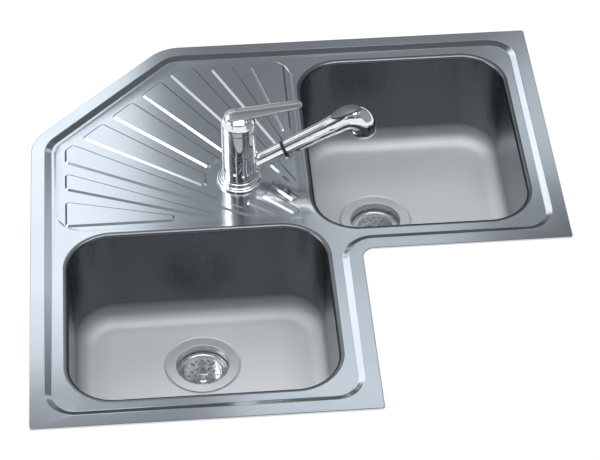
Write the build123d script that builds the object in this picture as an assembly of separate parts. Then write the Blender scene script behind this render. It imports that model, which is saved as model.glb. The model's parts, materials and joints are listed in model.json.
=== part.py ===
from build123d import *
import math
import os

# Corner kitchen sink with two bowls, a ribbed drainer and a pull-out spray tap.
# Millimetres, +X right, +Y back, +Z up.
# The origin is the inner corner of the L on the worktop plane, under the rim seal.
# The sink mirrors across the diagonal through that corner, so the left side is modelled
# and the right side is its mirror image.

# ---- Driving dimensions: sink top ---------------------------------------------------
SIDE = 830.0  # long sides of the L
ARM_WIDTH = 505.0  # width of each arm of the L
BACK_STRAIGHT = 287.0  # inner corner's line to the start of the cut corner behind the tap
SHEET = 1.0  # pressed steel
RIM_TOP = 3.0  # top of the rim above the worktop
RIM_WIDTH = 22.0  # flat rim, to the top of the step
RIM_EDGE_RADIUS = 1.5
LIP_GAP = 0.4  # the turned-down lip stays this far above the worktop
CORNER_OUTER = 5.0  # plan radii of the rim
CORNER_INNER = 18.0
CORNER_CHAMFER = 70.0
STEP_RUN = 10.0  # slope from the rim down to the deck
STEP_DROP = 4.2
STEP_CORNER_OUTER = 45.0
STEP_CORNER_INNER = 40.0
STEP_CORNER_CHAMFER = 48.0
STEP_BLEND = 4.0  # bend radius at the top and the foot of the step

# ---- Driving dimensions: drainer ----------------------------------------------------
TRAY_EDGE = 38.5  # contour line to the outline
TRAY_FRONT = 77.0  # contour line to the lines through the inner corner
TRAY_DROP = 0.7
TRAY_TAPER = 60.0
TRAY_CORNERS = [42.0, 15.0, 42.0, 40.0, 40.0]
RIB_HEIGHT = 2.3
RIB_RUN = 3.3  # plan width of a rib's sloping side
RIB_CREST_BLEND = 1.0
RIB_EDGE_GAP = 16.5  # contour line to the outer ends of the ribs
RIB_FRONT_GAP = 11.0  # contour line to the inner ends of the ribs
RIB_TIP_HALF_WIDTH = 5.1
RIB_FLARE = 0.0475  # growth of the half width per mm of length
RIB_CORNER = 4.5
RIB_FAN_ANGLES = [7.8, 15.1, 22.1]  # either side of the diagonal
EDGE_RIB_LENGTH = 166.0
EDGE_RIB_TIP = 12.0
EDGE_RIB_ROOT = 55.0
TAP_CLEAR_RADIUS = 54.0  # the ribs stop this far from the tap

# ---- Driving dimensions: bowls ------------------------------------------------------
BOWL_BACK = 62.0  # opening past the inner corner's line, towards the tap
BOWL_DEPTH = 180.0
BOWL_CORNER = 67.0
BOWL_SIDE_MARGIN = 57.0  # outline to the opening, at the closed side
BOWL_INNER_MARGIN = 55.0  # opening to the inner corner's other line
BOWL_END_MARGIN = 53.0  # outline to the opening, at the arm's end
BOWL_DRAFT = 1.2
BOWL_FLOOR_BLEND = 26.0
BOWL_LIP_RADIUS = 6.0
BOWL_FLANGE = 8.0  # width of the flange that is welded into the deck
DRAIN_FROM_BACK = 113.0
DRAIN_HOLE = 45.0  # radii
DRAIN_RECESS = 60.5
DRAIN_RECESS_FOOT = 57.5
DRAIN_RECESS_DEPTH = 2.0
PAD_LENGTH = 260.0
PAD_THICKNESS = 2.5
PAD_END_GAP = 55.0  # bowl opening to the pad, at the arm's end
PAD_WASTE_GAP = 19.0  # pad to the waste's flange

# ---- Driving dimensions: seal and clips ---------------------------------------------
SEAL_INSET = 3.5
SEAL_WIDTH = 8.0
SEAL_CORNER = 12.0
CLIP_RAIL_INSET = 32.6
CLIP_RAIL_WIDTH = 5.0
CLIP_RAIL_LENGTH = 24.0
CLIP_SHEET = 1.2
CLIP_LEG_WIDTH = 10.0
CLIP_LEG_LENGTH = 14.8
CLIP_FOOT_REACH = 2.2
HOOK_WIDTH = 18.0
HOOK_SHEET = 3.0
HOOK_REACH = 28.0  # from the bend to the screw's end of the bar
HOOK_BEND_INSET = 22.0
HOOK_TOE_INSET = 6.0
WORKTOP = 30.0  # worktop thickness that the hooks are drawn for
CLIP_SLIP = 0.3
CLIP_SCREW_INSET = 46.0
CLIP_SCREW_RADIUS = 2.5
CLIP_SCREW_HEAD = 4.5
CLIP_TIP_GAP = 0.8  # screw tip to the underside of the deck
THREAD_SLIP = 0.05  # screws in their nuts, hooks and bores
CLIP_END_GAP = 85.0
CLIP_COUNTS = [2, 2, 2, 2, 3, 2, 3]  # one for each side of the outline

# ---- Driving dimensions: strainer waste ---------------------------------------------
FLANGE_RADIUS = 56.5
FLANGE_SHEET = 1.2
FLANGE_GASKET = 1.2
MOUTH_RADIUS = 41.0
MOUTH_BLEND = 1.1
SEAT_DEPTH = 20.0
CUP_RADIUS = 33.5
CUP_DEPTH = 42.0
WELL_HOLE = 4.0
WELL_HOLE_PITCH = 22.0
WELL_HOLE_COUNT = 8
UNDER_GASKET = 3.0
GASKET_INSET = 0.5  # gasket inside the edge of what it seals
GASKET_HOLE_GAP = 1.0
UNDER_GASKET_INSET = 2.0
BODY_FLANGE = 57.0
BODY_FLANGE_THICKNESS = 4.0
BODY_WALL = 2.5
BODY_SLIP = 2.3  # well to the body around it
BODY_DEPTH = 46.0  # straight wall, under the bowl's floor
BODY_TAPER = 16.0
OUTLET_RADIUS = 23.9  # thread of the outlet, over its crests
OUTLET_WALL = 3.9
OUTLET_LENGTH = 26.0
HUB_RADIUS = 9.0
HUB_LENGTH = 14.0
SPIDER_ARM = 3.0
WASTE_SCREW = 3.95
WASTE_SCREW_HEAD = 9.0
WASTE_SCREW_HEAD_HEIGHT = 2.0
WASTE_NUT_FLATS = 13.0
WASTE_NUT_HEIGHT = 6.0
SCREW_SLIP = 0.15
BASKET_SHEET = 1.0
BASKET_RIM_RADIUS = 38.8
BASKET_RIM_DEPTH = 14.5
BASKET_SHOULDER = 38.0
BASKET_CUP = 31.0
BASKET_CUP_DROP = 19.0
BASKET_HOLE = 1.6
BASKET_FLOOR_RING = 24.5
BASKET_INNER_RING = 15.0
BASKET_FLOOR_HOLES = 16
BASKET_INNER_HOLES = 10
BASKET_SIDE_HOLES = 20
STOPPER_THICKNESS = 2.5
STOPPER_GAP = 0.3
POST_RADIUS = 3.0
POST_HEIGHT = 18.5
KNOB_RADIUS = 6.8
KNOB_HEIGHT = 4.0
POST_FOOT = 6.0

# ---- Driving dimensions: tap, heights above the tray ---------------------------------
TAP_DIAGONAL = 250.3  # inner corner to the tap's axis
TAP_TURN = 7.0  # rest direction of the spout and the lever
TAP_HOLE = 17.5
TAP_SPIGOT = 16.8
TAP_SPIGOT_DEPTH = 10.0
TAP_GASKET = 1.0
BASE_RADIUS = 36.0
BASE_FLANGE_TOP = 4.5
BASE_COLLAR = 29.5
BASE_COLLAR_TOP = 12.5
BASE_SKIRT = 2.5
BASE_SKIRT_GAP = 0.2
CORE_RADIUS = 20.0
CHAMBER_RADIUS = 15.5
CHAMBER_FLOOR = 5.0
CHAMBER_TOP = 52.0
COLUMN_RADIUS = 26.5
SLEEVE_BORE = 22.2
SLEEVE_BOTTOM = 13.2
SLEEVE_TOP = 61.7
HOUSING_BOTTOM = 62.3
HOUSING_RISE = 8.0  # over the lever's pivot
RUNNING_GAP = 0.1
LOWER_BUSH_TOP = 15.8
UPPER_BUSH_BOTTOM = 52.0
UPPER_BUSH_FLANGE = 25.5
SWIVEL_HALF_RANGE = 100.0
WINDOW_SPARE = 26.0
WINDOW_BOTTOM = 16.0
WINDOW_TOP = 33.5
PORT_RADIUS = 4.5
PORT_DEPTH = 12.0
PORT_SPACING = 10.6
PORT_OFFSET = 3.2
MIXED_OFFSET = 3.5
HOSE_CHANNEL = 7.0
HOSE_CHANNEL_OFFSET = 9.0
STUD_RADIUS = 3.0
STUD_OFFSET = 12.9
STUD_TOP = 2.0
STUD_BOTTOM = 60.0
STABILISER_RADIUS = 29.0
STABILISER_HEIGHT = 10.0
STABILISER_GAP = 0.4
PLATE_RADIUS = 25.0
PLATE_THICKNESS = 2.5
PLATE_SLOT_HALF = 15.5
PLATE_SLOT_END = 7.8
STUD_NUT_FLATS = 10.0
STUD_NUT_HEIGHT = 5.0

# ---- Driving dimensions: spout arm and pull-out handset ------------------------------
ARM_HEIGHT = 16.0  # where the arm's axis meets the tap's axis
ARM_RISE = 25.0
ARM_RADIUS = 13.6
ARM_BORE = 10.5
ARM_END = 78.0  # distances along the arm's axis
ARM_ROOT_BLEND = 4.0
SEAM_RING_LENGTH = 5.0
SEAM_RING_RADIUS = 14.0
SEAM_SPIGOT_LENGTH = 12.0
SEAM_BORE = 7.5
SEAM_GAP = 0.3
HOSE_RADIUS = 6.25
HOSE_START = -12.0
HOSE_NUT_LENGTH = 12.0
HOSE_NUT_WALL_GAP = 0.05
HANDSET_WALL = 2.2
GRIP_STATIONS = [(0.0, 13.6), (15.0, 13.6), (30.0, 13.6), (45.0, 13.65), (60.0, 13.9), (74.0, 14.7)]
GRIP_END = 101.7  # from the seam to the start of the bend
GRIP_BEFORE_END = (88.0, 15.8)
GRIP_END_RADIUS = 16.8
BEND_RADIUS = 22.0
BEND_STATIONS = [(0.0, 18.2), (-25.0, 19.3), (-50.0, 19.8), (-75.0, 20.0), (-90.0, 20.0)]
HEAD_STATIONS = [(5.0, 19.9), (9.0, 18.6), (12.0, 16.3), (14.0, 13.5)]
NOZZLE_RADIUS = 12.4
NOZZLE_FACE_RADIUS = 9.2
NOZZLE_GAP = 0.15
NOZZLE_PROUD = 1.0
NOZZLE_RING_HEIGHT = 7.0
NOZZLE_FACE_HEIGHT = 4.0
SPRAY_HOLE = 0.6
SPRAY_HOLE_RING = 7.0
SPRAY_HOLE_COUNT = 12
AERATOR_RADIUS = 4.5
AERATOR_DEPTH = 2.0
DIVERTER_RADIUS = 9.0
WATERWAY_RADIUS = 5.0
WATERWAY_WALL = 1.5
ROCKER_LENGTH = 49.0
ROCKER_WIDTH = 20.0
ROCKER_REACH = 171.0  # from the tap's axis
ROCKER_HEIGHT = 105.0  # underside of the rocker
ROCKER_TILT = 12.4
ROCKER_PROUD = 2.6
ROCKER_GAP = 0.5
ROCKER_DIP = 2.0  # room under the rocker's ends
ROCKER_PIN = 1.2
ROCKER_PIN_LIFT = 2.4  # above the rocker's underside
ROCKER_PIN_HALF = 13.0
PIN_SLIP = 0.05

# ---- Driving dimensions: cartridge and lever -----------------------------------------
CARTRIDGE_RADIUS = 17.5
CARTRIDGE_BORE = 17.7
CARTRIDGE_BOTTOM = 66.0
PIVOT_OVER_CARTRIDGE = 3.0
CARTRIDGE_RECESS = 11.9
RECESS_UNDER_PIVOT = 10.0
PIVOT_HEIGHT = 100.0
CARRIER_RADIUS = 11.5
CARRIER_OVER_PIVOT = 4.0
CARRIER_GAP = 0.3
CARRIER_SLOT_HALF = 7.5
CARRIER_SLOT_DEPTH = 7.6  # under the pivot
STEM_SIZE = 8.0
STEM_UNDER_PIVOT = 6.0
STEM_UNDER_LEVER_TOP = 2.0
STEM_SLIP = 0.25
PIVOT_PIN = 1.5
NUT_BORE = 12.2
NUT_RADIUS = 22.0
NUT_HEIGHT = 7.0
HOUSING_THREAD = 22.1
CAP_GAP = 0.3
CAP_SHOULDER_RISE = 19.0  # over the pivot, as the next rises are
CAP_TOP_RISE = 27.0
CAP_TOP_RADIUS = 22.0
CAP_EDGE_BLEND = 8.0
CAP_BORE = 19.5
CAP_MOUTH = 21.7
DOME_RADIUS = 34.8
DOME_WALL = 1.6
DOME_SKIRT_GAP = 0.3
DOME_SLOT_BACK = 18.5
DOME_SLOT_FRONT = 6.5
DOME_SLOT_HALF = 6.0
LEVER_TOP_RISE = 41.0
LEVER_THICKNESS = 9.0
LEVER_TIP_THICKNESS = 3.5
LEVER_HEEL_THICKNESS = 12.5
LEVER_CLEAR = 0.5
LEVER_PLAN = [(-18.0, 10.5), (-12.0, 13.0), (0.0, 13.5), (25.0, 13.0), (50.0, 11.5), (75.0, 10.0), (92.0, 9.0)]
LEVER_HEEL = (-21.0, 6.0)
LEVER_NOSE = (98.0, 6.0)
LEVER_TIP = 100.5
LEVER_TOP_BLEND = 2.2
BOSS_SIZE = 11.0
BOSS_RISE = 18.0
SOCKET_SLIP = 0.1
SOCKET_HEADROOM = 0.2
GRUB_RADIUS = 2.0
GRUB_UNDER_LEVER_TOP = 4.0
GRUB_LENGTH = 6.0
PLUG_RADIUS = 2.6
PLUG_LENGTH = 3.0
PLUG_GAP = 0.2

# ---- Worked-out levels and places ----------------------------------------------------
DECK_Z = RIM_TOP - STEP_DROP
TRAY_Z = DECK_Z - TRAY_DROP
FLOOR_Z = DECK_Z - BOWL_DEPTH
STEP_TAPER = math.degrees(math.atan2(STEP_RUN, STEP_DROP))
RIB_TAPER = math.degrees(math.atan2(RIB_RUN, RIB_HEIGHT))
ARM_END_Y = -(SIDE - ARM_WIDTH)  # the left arm's end
CHAMFER = ARM_WIDTH - BACK_STRAIGHT
BOWL_WIDTH = ARM_WIDTH - BOWL_SIDE_MARGIN - BOWL_INNER_MARGIN
BOWL_LENGTH = BOWL_BACK - ARM_END_Y - BOWL_END_MARGIN
BOWL_X = -ARM_WIDTH + BOWL_SIDE_MARGIN + BOWL_WIDTH / 2
BOWL_Y = BOWL_BACK - BOWL_LENGTH / 2
DRAIN_Y = BOWL_BACK - DRAIN_FROM_BACK
CARTRIDGE_TOP = PIVOT_HEIGHT - PIVOT_OVER_CARTRIDGE
CARTRIDGE_RECESS_FLOOR = PIVOT_HEIGHT - RECESS_UNDER_PIVOT
CARRIER_TOP = PIVOT_HEIGHT + CARRIER_OVER_PIVOT
NUT_TOP = CARTRIDGE_TOP + NUT_HEIGHT
HOUSING_TOP = PIVOT_HEIGHT + HOUSING_RISE
CAP_SHOULDER = PIVOT_HEIGHT + CAP_SHOULDER_RISE
CAP_TOP = PIVOT_HEIGHT + CAP_TOP_RISE
LEVER_TOP = PIVOT_HEIGHT + LEVER_TOP_RISE
LEVER_BOTTOM = LEVER_TOP - LEVER_THICKNESS
LEVER_TIP_BOTTOM = LEVER_TOP - LEVER_TIP_THICKNESS
LEVER_HEEL_BOTTOM = LEVER_TOP - LEVER_HEEL_THICKNESS
BOSS_BOTTOM = PIVOT_HEIGHT + BOSS_RISE
STEM_BOTTOM = PIVOT_HEIGHT - STEM_UNDER_PIVOT
STEM_TOP = LEVER_TOP - STEM_UNDER_LEVER_TOP
GRUB_HEIGHT = LEVER_TOP - GRUB_UNDER_LEVER_TOP
TAP_X = -TAP_DIAGONAL / math.sqrt(2)
TAP_Y = TAP_DIAGONAL / math.sqrt(2)
MIRROR = Plane(origin=(0, 0, 0), z_dir=(1, 1, 0))
DRAIN = Pos(BOWL_X, DRAIN_Y, FLOOR_Z)
TAP = Pos(TAP_X, TAP_Y, TRAY_Z)
BODY = TAP * Rot(0, 0, 45)  # its -Y points at the inner corner
SPOUT = TAP * Rot(0, 0, TAP_TURN)  # its +X is the spout's rest direction
ARM = SPOUT * Pos(0, 0, ARM_HEIGHT) * Rot(0, 90 - ARM_RISE, 0)  # its +Z runs up the arm


# ---- Shape helpers -------------------------------------------------------------------
def slab(face, low, high):
    """A flat face drawn on Z = 0, as a prism from one height to another."""
    return Pos(0, 0, low) * extrude(face, amount=high - low, dir=(0, 0, 1))


def box(low, high):
    """A box between two corners."""
    size = [b - a for a, b in zip(low, high)]
    middle = [(a + b) / 2 for a, b in zip(low, high)]
    return Pos(*middle) * Box(*size)


def disc(radius, low, high):
    """A cylinder on the Z axis between two heights."""
    return Pos(0, 0, (low + high) / 2) * Cylinder(radius, high - low)


def ring(outer, inner, low, high):
    """A round ring on the Z axis between two heights."""
    return disc(outer, low, high) - disc(inner, low, high)


def turned(points):
    """A solid of revolution about Z from (radius, height) points."""
    face = make_face(Polyline(*[(r, 0, z) for r, z in points], close=True))
    return revolve(face, Axis.Z)


def hexagon(flats, low, high):
    """A hexagonal prism on the Z axis between two heights."""
    return slab(RegularPolygon(flats / 2, 6, major_radius=False), low, high)


def spokes(shape, count, radius, start=0.0):
    """Copies of a shape around the Z axis."""
    step = 360 / count
    return [Rot(0, 0, start + step * i) * Pos(radius, 0, 0) * shape for i in range(count)]


def hole_edges(solid, height):
    """The edges round the hole in the flat face at a height."""
    near = 0.01
    flat = solid.faces().filter_by(Axis.Z).filter_by_position(Axis.Z, height - near, height + near)
    return flat[0].inner_wires()[0].edges()


def group(shapes):
    """Separate solids that share one node."""
    return Compound(children=[solid for shape in shapes for solid in shape.solids()])


def to_right(shape):
    """The right side's copy of a left side piece."""
    return mirror(shape, about=MIRROR)


# ---- Sink top ------------------------------------------------------------------------
def outline_points(inset):
    """Corners of the L at an inset, anticlockwise from the front left one."""
    left = inset - ARM_WIDTH
    front = ARM_END_Y + inset
    right = -front
    back = -left
    reach = 2 * ARM_WIDTH - CHAMFER - inset * math.sqrt(2)
    return [
        (left, front),
        (-inset, front),
        (-inset, inset),
        (right, inset),
        (right, back),
        (back - reach, back),
        (left, left + reach),
    ]


def outline(inset, outer, inner, chamfer):
    """The rounded L at an inset, with its three corner radii."""
    radii = [outer, outer, inner, outer, outer, chamfer, chamfer]
    return make_face(FilletPolyline(*outline_points(inset), radius=radii, close=True))


def step_tool(inset, shrink, top, depth, blend):
    """The hollow of the deck: the L at an inset, its sides sloping in as it goes down."""
    face = outline(
        inset,
        STEP_CORNER_OUTER + shrink,
        STEP_CORNER_INNER - shrink,
        STEP_CORNER_CHAMFER + shrink,
    )
    tool = Pos(0, 0, top) * extrude(face, amount=depth, dir=(0, 0, -1), taper=STEP_TAPER)
    if blend:
        tool = fillet(tool.edges().group_by(Axis.Z)[0], blend)
    return tool


def tray_tool(top):
    """The drainer's shallow drop inside its contour line."""
    left, _ = outline_points(TRAY_EDGE)[0]
    back = -left
    reach = 2 * ARM_WIDTH - CHAMFER - TRAY_EDGE * math.sqrt(2)
    corners = [
        (left, TRAY_FRONT),
        (-TRAY_FRONT, TRAY_FRONT),
        (-TRAY_FRONT, back),
        (back - reach, back),
        (left, left + reach),
    ]
    face = make_face(FilletPolyline(*corners, radius=TRAY_CORNERS, close=True))
    return Pos(0, 0, top) * extrude(face, amount=TRAY_DROP, dir=(0, 0, -1), taper=TRAY_TAPER)


def rib_field():
    """The area that the ribs fill, on Z = 0."""
    inset = TRAY_EDGE + RIB_EDGE_GAP
    front = TRAY_FRONT + RIB_FRONT_GAP
    left = inset - ARM_WIDTH
    reach = 2 * ARM_WIDTH - CHAMFER - inset * math.sqrt(2)
    corners = [(left, front), (-front, front), (-front, -left), (-left - reach, -left), (left, left + reach)]
    return make_face(Polyline(*corners, close=True)), left, front


def fan_rib(turn):
    """Outline of the drainer rib at an angle from the diagonal, on Z = 0."""
    field, _, front = rib_field()
    angle = 45 + turn
    shallow = math.radians(min(angle, 90 - angle))
    start = (front + RIB_TIP_HALF_WIDTH * math.cos(shallow)) / math.sin(shallow)
    reach = 2 * ARM_WIDTH
    root = RIB_TIP_HALF_WIDTH + RIB_FLARE * (reach - start)
    wedge = Polyline(
        (start, -RIB_TIP_HALF_WIDTH), (reach, -root), (reach, root), (start, RIB_TIP_HALF_WIDTH), close=True
    )
    clear = Pos(TAP_X, TAP_Y) * Circle(TAP_CLEAR_RADIUS)
    return (Rot(0, 0, 180 - angle) * make_face(wedge) & field) - clear


def edge_rib():
    """Outline of the wide rib along the left bowl, on Z = 0."""
    _, left, front = rib_field()
    return make_face(
        Polyline(
            (left, front),
            (left + EDGE_RIB_LENGTH, front),
            (left + EDGE_RIB_LENGTH, front + EDGE_RIB_TIP),
            (left, front + EDGE_RIB_ROOT),
            close=True,
        )
    )


def rib_outlines():
    """Every rib's outline at half its height, with rounded corners."""
    fan = [0.0] + RIB_FAN_ANGLES + [-angle for angle in RIB_FAN_ANGLES]
    plain = [fan_rib(turn) for turn in fan] + [edge_rib(), to_right(edge_rib())]
    rounded = [fillet(shape.vertices(), RIB_CORNER) for shape in plain]
    return [face for shape in rounded for face in shape.faces()]


def rib_solids(outlines, foot, blend):
    """The ribs as solids that stand on a height, with sloping sides."""
    solids = []
    for face in outlines:
        grown = offset(face, RIB_RUN / 2)
        rib = Pos(0, 0, foot) * extrude(grown.face(), amount=RIB_HEIGHT, dir=(0, 0, 1), taper=RIB_TAPER)
        if blend:
            rib = fillet(rib.edges().group_by(Axis.Z)[-1], blend)
        solids.append(rib)
    return solids


def bowl_face(grow):
    """The left bowl's opening, grown by a margin, on Z = 0."""
    face = RectangleRounded(BOWL_WIDTH + 2 * grow, BOWL_LENGTH + 2 * grow, BOWL_CORNER + grow)
    return Pos(BOWL_X, BOWL_Y) * face


def sink_deck():
    """The pressed top: rim, step, deck and ribbed drainer, open for the bowls and the tap."""
    lid = slab(outline(0, CORNER_OUTER, CORNER_INNER, CORNER_CHAMFER), LIP_GAP, RIM_TOP)
    lid = fillet(lid.edges().group_by(Axis.Z)[-1], RIM_EDGE_RADIUS)
    under = outline(SHEET, CORNER_OUTER - SHEET, CORNER_INNER + SHEET, CORNER_CHAMFER - SHEET)
    deck = lid - slab(under, 0, RIM_TOP - SHEET)
    setback = SHEET / math.sin(math.radians(90 - STEP_TAPER))
    pan_inset = RIM_WIDTH - setback
    deck += step_tool(pan_inset, setback, RIM_TOP, STEP_DROP + SHEET, 0)
    deck += tray_tool(DECK_Z - SHEET)
    deck -= step_tool(RIM_WIDTH, 0, RIM_TOP, STEP_DROP, STEP_BLEND)
    deck -= tray_tool(DECK_Z)
    deck = fillet(hole_edges(deck, RIM_TOP), STEP_BLEND)
    outlines = rib_outlines()
    deck += rib_solids(outlines, TRAY_Z, RIB_CREST_BLEND)
    deck -= rib_solids(outlines, TRAY_Z - SHEET, 0)
    opening = slab(bowl_face(BOWL_FLANGE), TRAY_Z - 2 * SHEET, RIM_TOP)
    tap_hole = Pos(TAP_X, TAP_Y, 0) * disc(TAP_HOLE, TRAY_Z - 2 * SHEET, RIM_TOP)
    return deck - opening - to_right(opening) - tap_hole


# ---- Bowls ---------------------------------------------------------------------------
def left_bowl():
    """The drawn bowl with its flange, rounded lip and recessed drain."""
    inner = Pos(0, 0, DECK_Z) * extrude(bowl_face(0), amount=BOWL_DEPTH, dir=(0, 0, -1), taper=BOWL_DRAFT)
    inner = fillet(inner.edges().group_by(Axis.Z)[0], BOWL_FLOOR_BLEND)
    inner += slab(bowl_face(2 * BOWL_FLANGE), DECK_Z, RIM_TOP)
    inner = fillet(hole_edges(inner, DECK_Z), BOWL_LIP_RADIUS)
    outer = Pos(0, 0, DECK_Z - SHEET) * extrude(
        bowl_face(SHEET), amount=BOWL_DEPTH, dir=(0, 0, -1), taper=BOWL_DRAFT
    )
    outer = fillet(outer.edges().group_by(Axis.Z)[0], BOWL_FLOOR_BLEND + SHEET)
    outer += slab(bowl_face(BOWL_FLANGE), DECK_Z - SHEET, DECK_Z)
    outer = fillet(hole_edges(outer, DECK_Z - SHEET), BOWL_LIP_RADIUS - SHEET)
    recess = Pos(0, 0, -DRAIN_RECESS_DEPTH / 2) * Cone(
        DRAIN_RECESS_FOOT, DRAIN_RECESS, DRAIN_RECESS_DEPTH
    )
    bowl = outer - inner + DRAIN * Pos(0, 0, -SHEET) * recess
    bowl -= DRAIN * recess
    return bowl - DRAIN * disc(DRAIN_HOLE, -DRAIN_RECESS_DEPTH - 2 * SHEET, SHEET)


def left_sound_pad():
    """The damping pad stuck under the bowl's floor."""
    near = BOWL_Y - BOWL_LENGTH / 2 + PAD_END_GAP
    far = DRAIN_Y - BODY_FLANGE - PAD_WASTE_GAP
    low = (BOWL_X - PAD_LENGTH / 2, near, FLOOR_Z - SHEET - PAD_THICKNESS)
    return box(low, (BOWL_X + PAD_LENGTH / 2, far, FLOOR_Z - SHEET))


# ---- Seal and clips ------------------------------------------------------------------
def rim_seal():
    """The foam strip between the rim and the worktop."""
    outside = outline(SEAL_INSET, SEAL_CORNER, SEAL_CORNER, CORNER_CHAMFER)
    inset = SEAL_INSET + SEAL_WIDTH
    inside = outline(inset, SEAL_CORNER - SEAL_WIDTH, SEAL_CORNER + SEAL_WIDTH, CORNER_CHAMFER - SEAL_WIDTH)
    return slab(outside, 0, RIM_TOP - SHEET) - slab(inside, 0, RIM_TOP - SHEET)


def clip_rail():
    """The welded rail that a clip hangs on: +X runs in from the outline."""
    top = DECK_Z - SHEET
    foot = top - CLIP_LEG_LENGTH
    inner = CLIP_RAIL_INSET + CLIP_RAIL_WIDTH
    half = CLIP_LEG_WIDTH / 2
    flange = box((CLIP_RAIL_INSET, -CLIP_RAIL_LENGTH / 2, top - CLIP_SHEET), (inner, CLIP_RAIL_LENGTH / 2, top))
    leg = box((inner - CLIP_SHEET, -half, foot), (inner, half, top))
    lip = box(
        (inner - CLIP_SHEET - CLIP_FOOT_REACH, -half, foot - CLIP_SHEET),
        (inner + CLIP_FOOT_REACH, half, foot),
    )
    return flange + leg + lip


def clip_hook():
    """The hook that pulls on the worktop's underside."""
    bar_low = DECK_Z - SHEET - CLIP_LEG_LENGTH
    bar_high = bar_low + HOOK_SHEET
    toe_top = -WORKTOP
    arm_low = toe_top - 2 * HOOK_SHEET
    half = HOOK_WIDTH / 2
    inner = CLIP_RAIL_INSET + CLIP_RAIL_WIDTH
    bar = box((HOOK_BEND_INSET, -half, bar_low), (HOOK_BEND_INSET + HOOK_REACH, half, bar_high))
    drop = box((HOOK_BEND_INSET, -half, arm_low), (HOOK_BEND_INSET + HOOK_SHEET, half, bar_high))
    arm = box((HOOK_TOE_INSET, -half, arm_low), (HOOK_BEND_INSET, half, arm_low + HOOK_SHEET))
    toe = box((HOOK_TOE_INSET, -half, arm_low), (HOOK_TOE_INSET + HOOK_SHEET, half, toe_top))
    slot = box(
        (inner - CLIP_SHEET - CLIP_SLIP, -CLIP_LEG_WIDTH / 2 - CLIP_SLIP, bar_low),
        (inner + CLIP_SLIP, CLIP_LEG_WIDTH / 2 + CLIP_SLIP, bar_high),
    )
    hole = Pos(CLIP_SCREW_INSET, 0, 0) * disc(CLIP_SCREW_RADIUS + THREAD_SLIP, bar_low, bar_high)
    return bar + drop + arm + toe - slot - hole


def clip_screw():
    """The screw that spreads the hook from the deck."""
    tip = DECK_Z - SHEET - CLIP_TIP_GAP
    head_top = -WORKTOP
    shank = disc(CLIP_SCREW_RADIUS, head_top, tip)
    head = disc(CLIP_SCREW_HEAD, head_top - HOOK_SHEET, head_top)
    return Pos(CLIP_SCREW_INSET, 0, 0) * (shank + head)


def clip_places():
    """Where the clips hang, as frames on the outline with +X pointing in."""
    corners = outline_points(0)
    places = []
    for index, count in enumerate(CLIP_COUNTS):
        start = Vector(*corners[index])
        along = Vector(*corners[(index + 1) % len(corners)]) - start
        gap = (along.length - 2 * CLIP_END_GAP) / (count - 1)
        turn = math.degrees(math.atan2(along.Y, along.X)) + 90
        for number in range(count):
            spot = start + along.normalized() * (CLIP_END_GAP + gap * number)
            places.append(Pos(spot.X, spot.Y, 0) * Rot(0, 0, turn))
    return places


# ---- Strainer waste, heights from the bowl's floor -------------------------------------
FLANGE_LOW = FLANGE_GASKET - DRAIN_RECESS_DEPTH
FLANGE_HIGH = FLANGE_LOW + FLANGE_SHEET
UNDER_FLOOR = -DRAIN_RECESS_DEPTH - SHEET
BODY_TOP = UNDER_FLOOR - UNDER_GASKET
BODY_BORE = MOUTH_RADIUS + FLANGE_SHEET + BODY_SLIP
OUTLET_TOP = -BODY_DEPTH - BODY_TAPER
SHOULDER_LOW = -SEAT_DEPTH + STOPPER_GAP + STOPPER_THICKNESS
BASKET_FLOOR = SHOULDER_LOW - BASKET_CUP_DROP


def strainer_flange():
    """The polished flange and well, with a seat for the basket's stopper."""
    inner = MOUTH_RADIUS
    well = turned(
        [
            (FLANGE_RADIUS, FLANGE_LOW),
            (FLANGE_RADIUS, FLANGE_HIGH),
            (inner, FLANGE_HIGH),
            (inner, -SEAT_DEPTH),
            (CUP_RADIUS, -SEAT_DEPTH),
            (CUP_RADIUS, -CUP_DEPTH),
            (0, -CUP_DEPTH),
            (0, -CUP_DEPTH - FLANGE_SHEET),
            (CUP_RADIUS + FLANGE_SHEET, -CUP_DEPTH - FLANGE_SHEET),
            (CUP_RADIUS + FLANGE_SHEET, -SEAT_DEPTH - FLANGE_SHEET),
            (inner + FLANGE_SHEET, -SEAT_DEPTH - FLANGE_SHEET),
            (inner + FLANGE_SHEET, FLANGE_LOW),
        ]
    )
    mouth = circle_edges(well, inner, FLANGE_HIGH)
    well = fillet(mouth, MOUTH_BLEND)
    holes = spokes(disc(WELL_HOLE, -CUP_DEPTH - FLANGE_SHEET, -CUP_DEPTH), WELL_HOLE_COUNT, WELL_HOLE_PITCH)
    centre = disc(WASTE_SCREW + SCREW_SLIP, -CUP_DEPTH - FLANGE_SHEET, -CUP_DEPTH)
    return DRAIN * (well - holes - centre)


def circle_edges(solid, radius, height):
    """The round edges of one radius at one height."""
    near = 0.05
    return [
        edge
        for edge in solid.edges().filter_by(GeomType.CIRCLE)
        if abs(edge.radius - radius) < near and abs(edge.center(CenterOf.BOUNDING_BOX).Z - height) < near
    ]


def flange_gasket():
    """The seal between the flange and the recess."""
    outer = FLANGE_RADIUS - GASKET_INSET
    return DRAIN * ring(outer, DRAIN_HOLE + GASKET_HOLE_GAP, -DRAIN_RECESS_DEPTH, FLANGE_LOW)


def waste_gasket():
    """The seal between the bowl's underside and the waste body."""
    outer = BODY_FLANGE - UNDER_GASKET_INSET
    return DRAIN * ring(outer, DRAIN_HOLE + GASKET_HOLE_GAP, BODY_TOP, UNDER_FLOOR)


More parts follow.
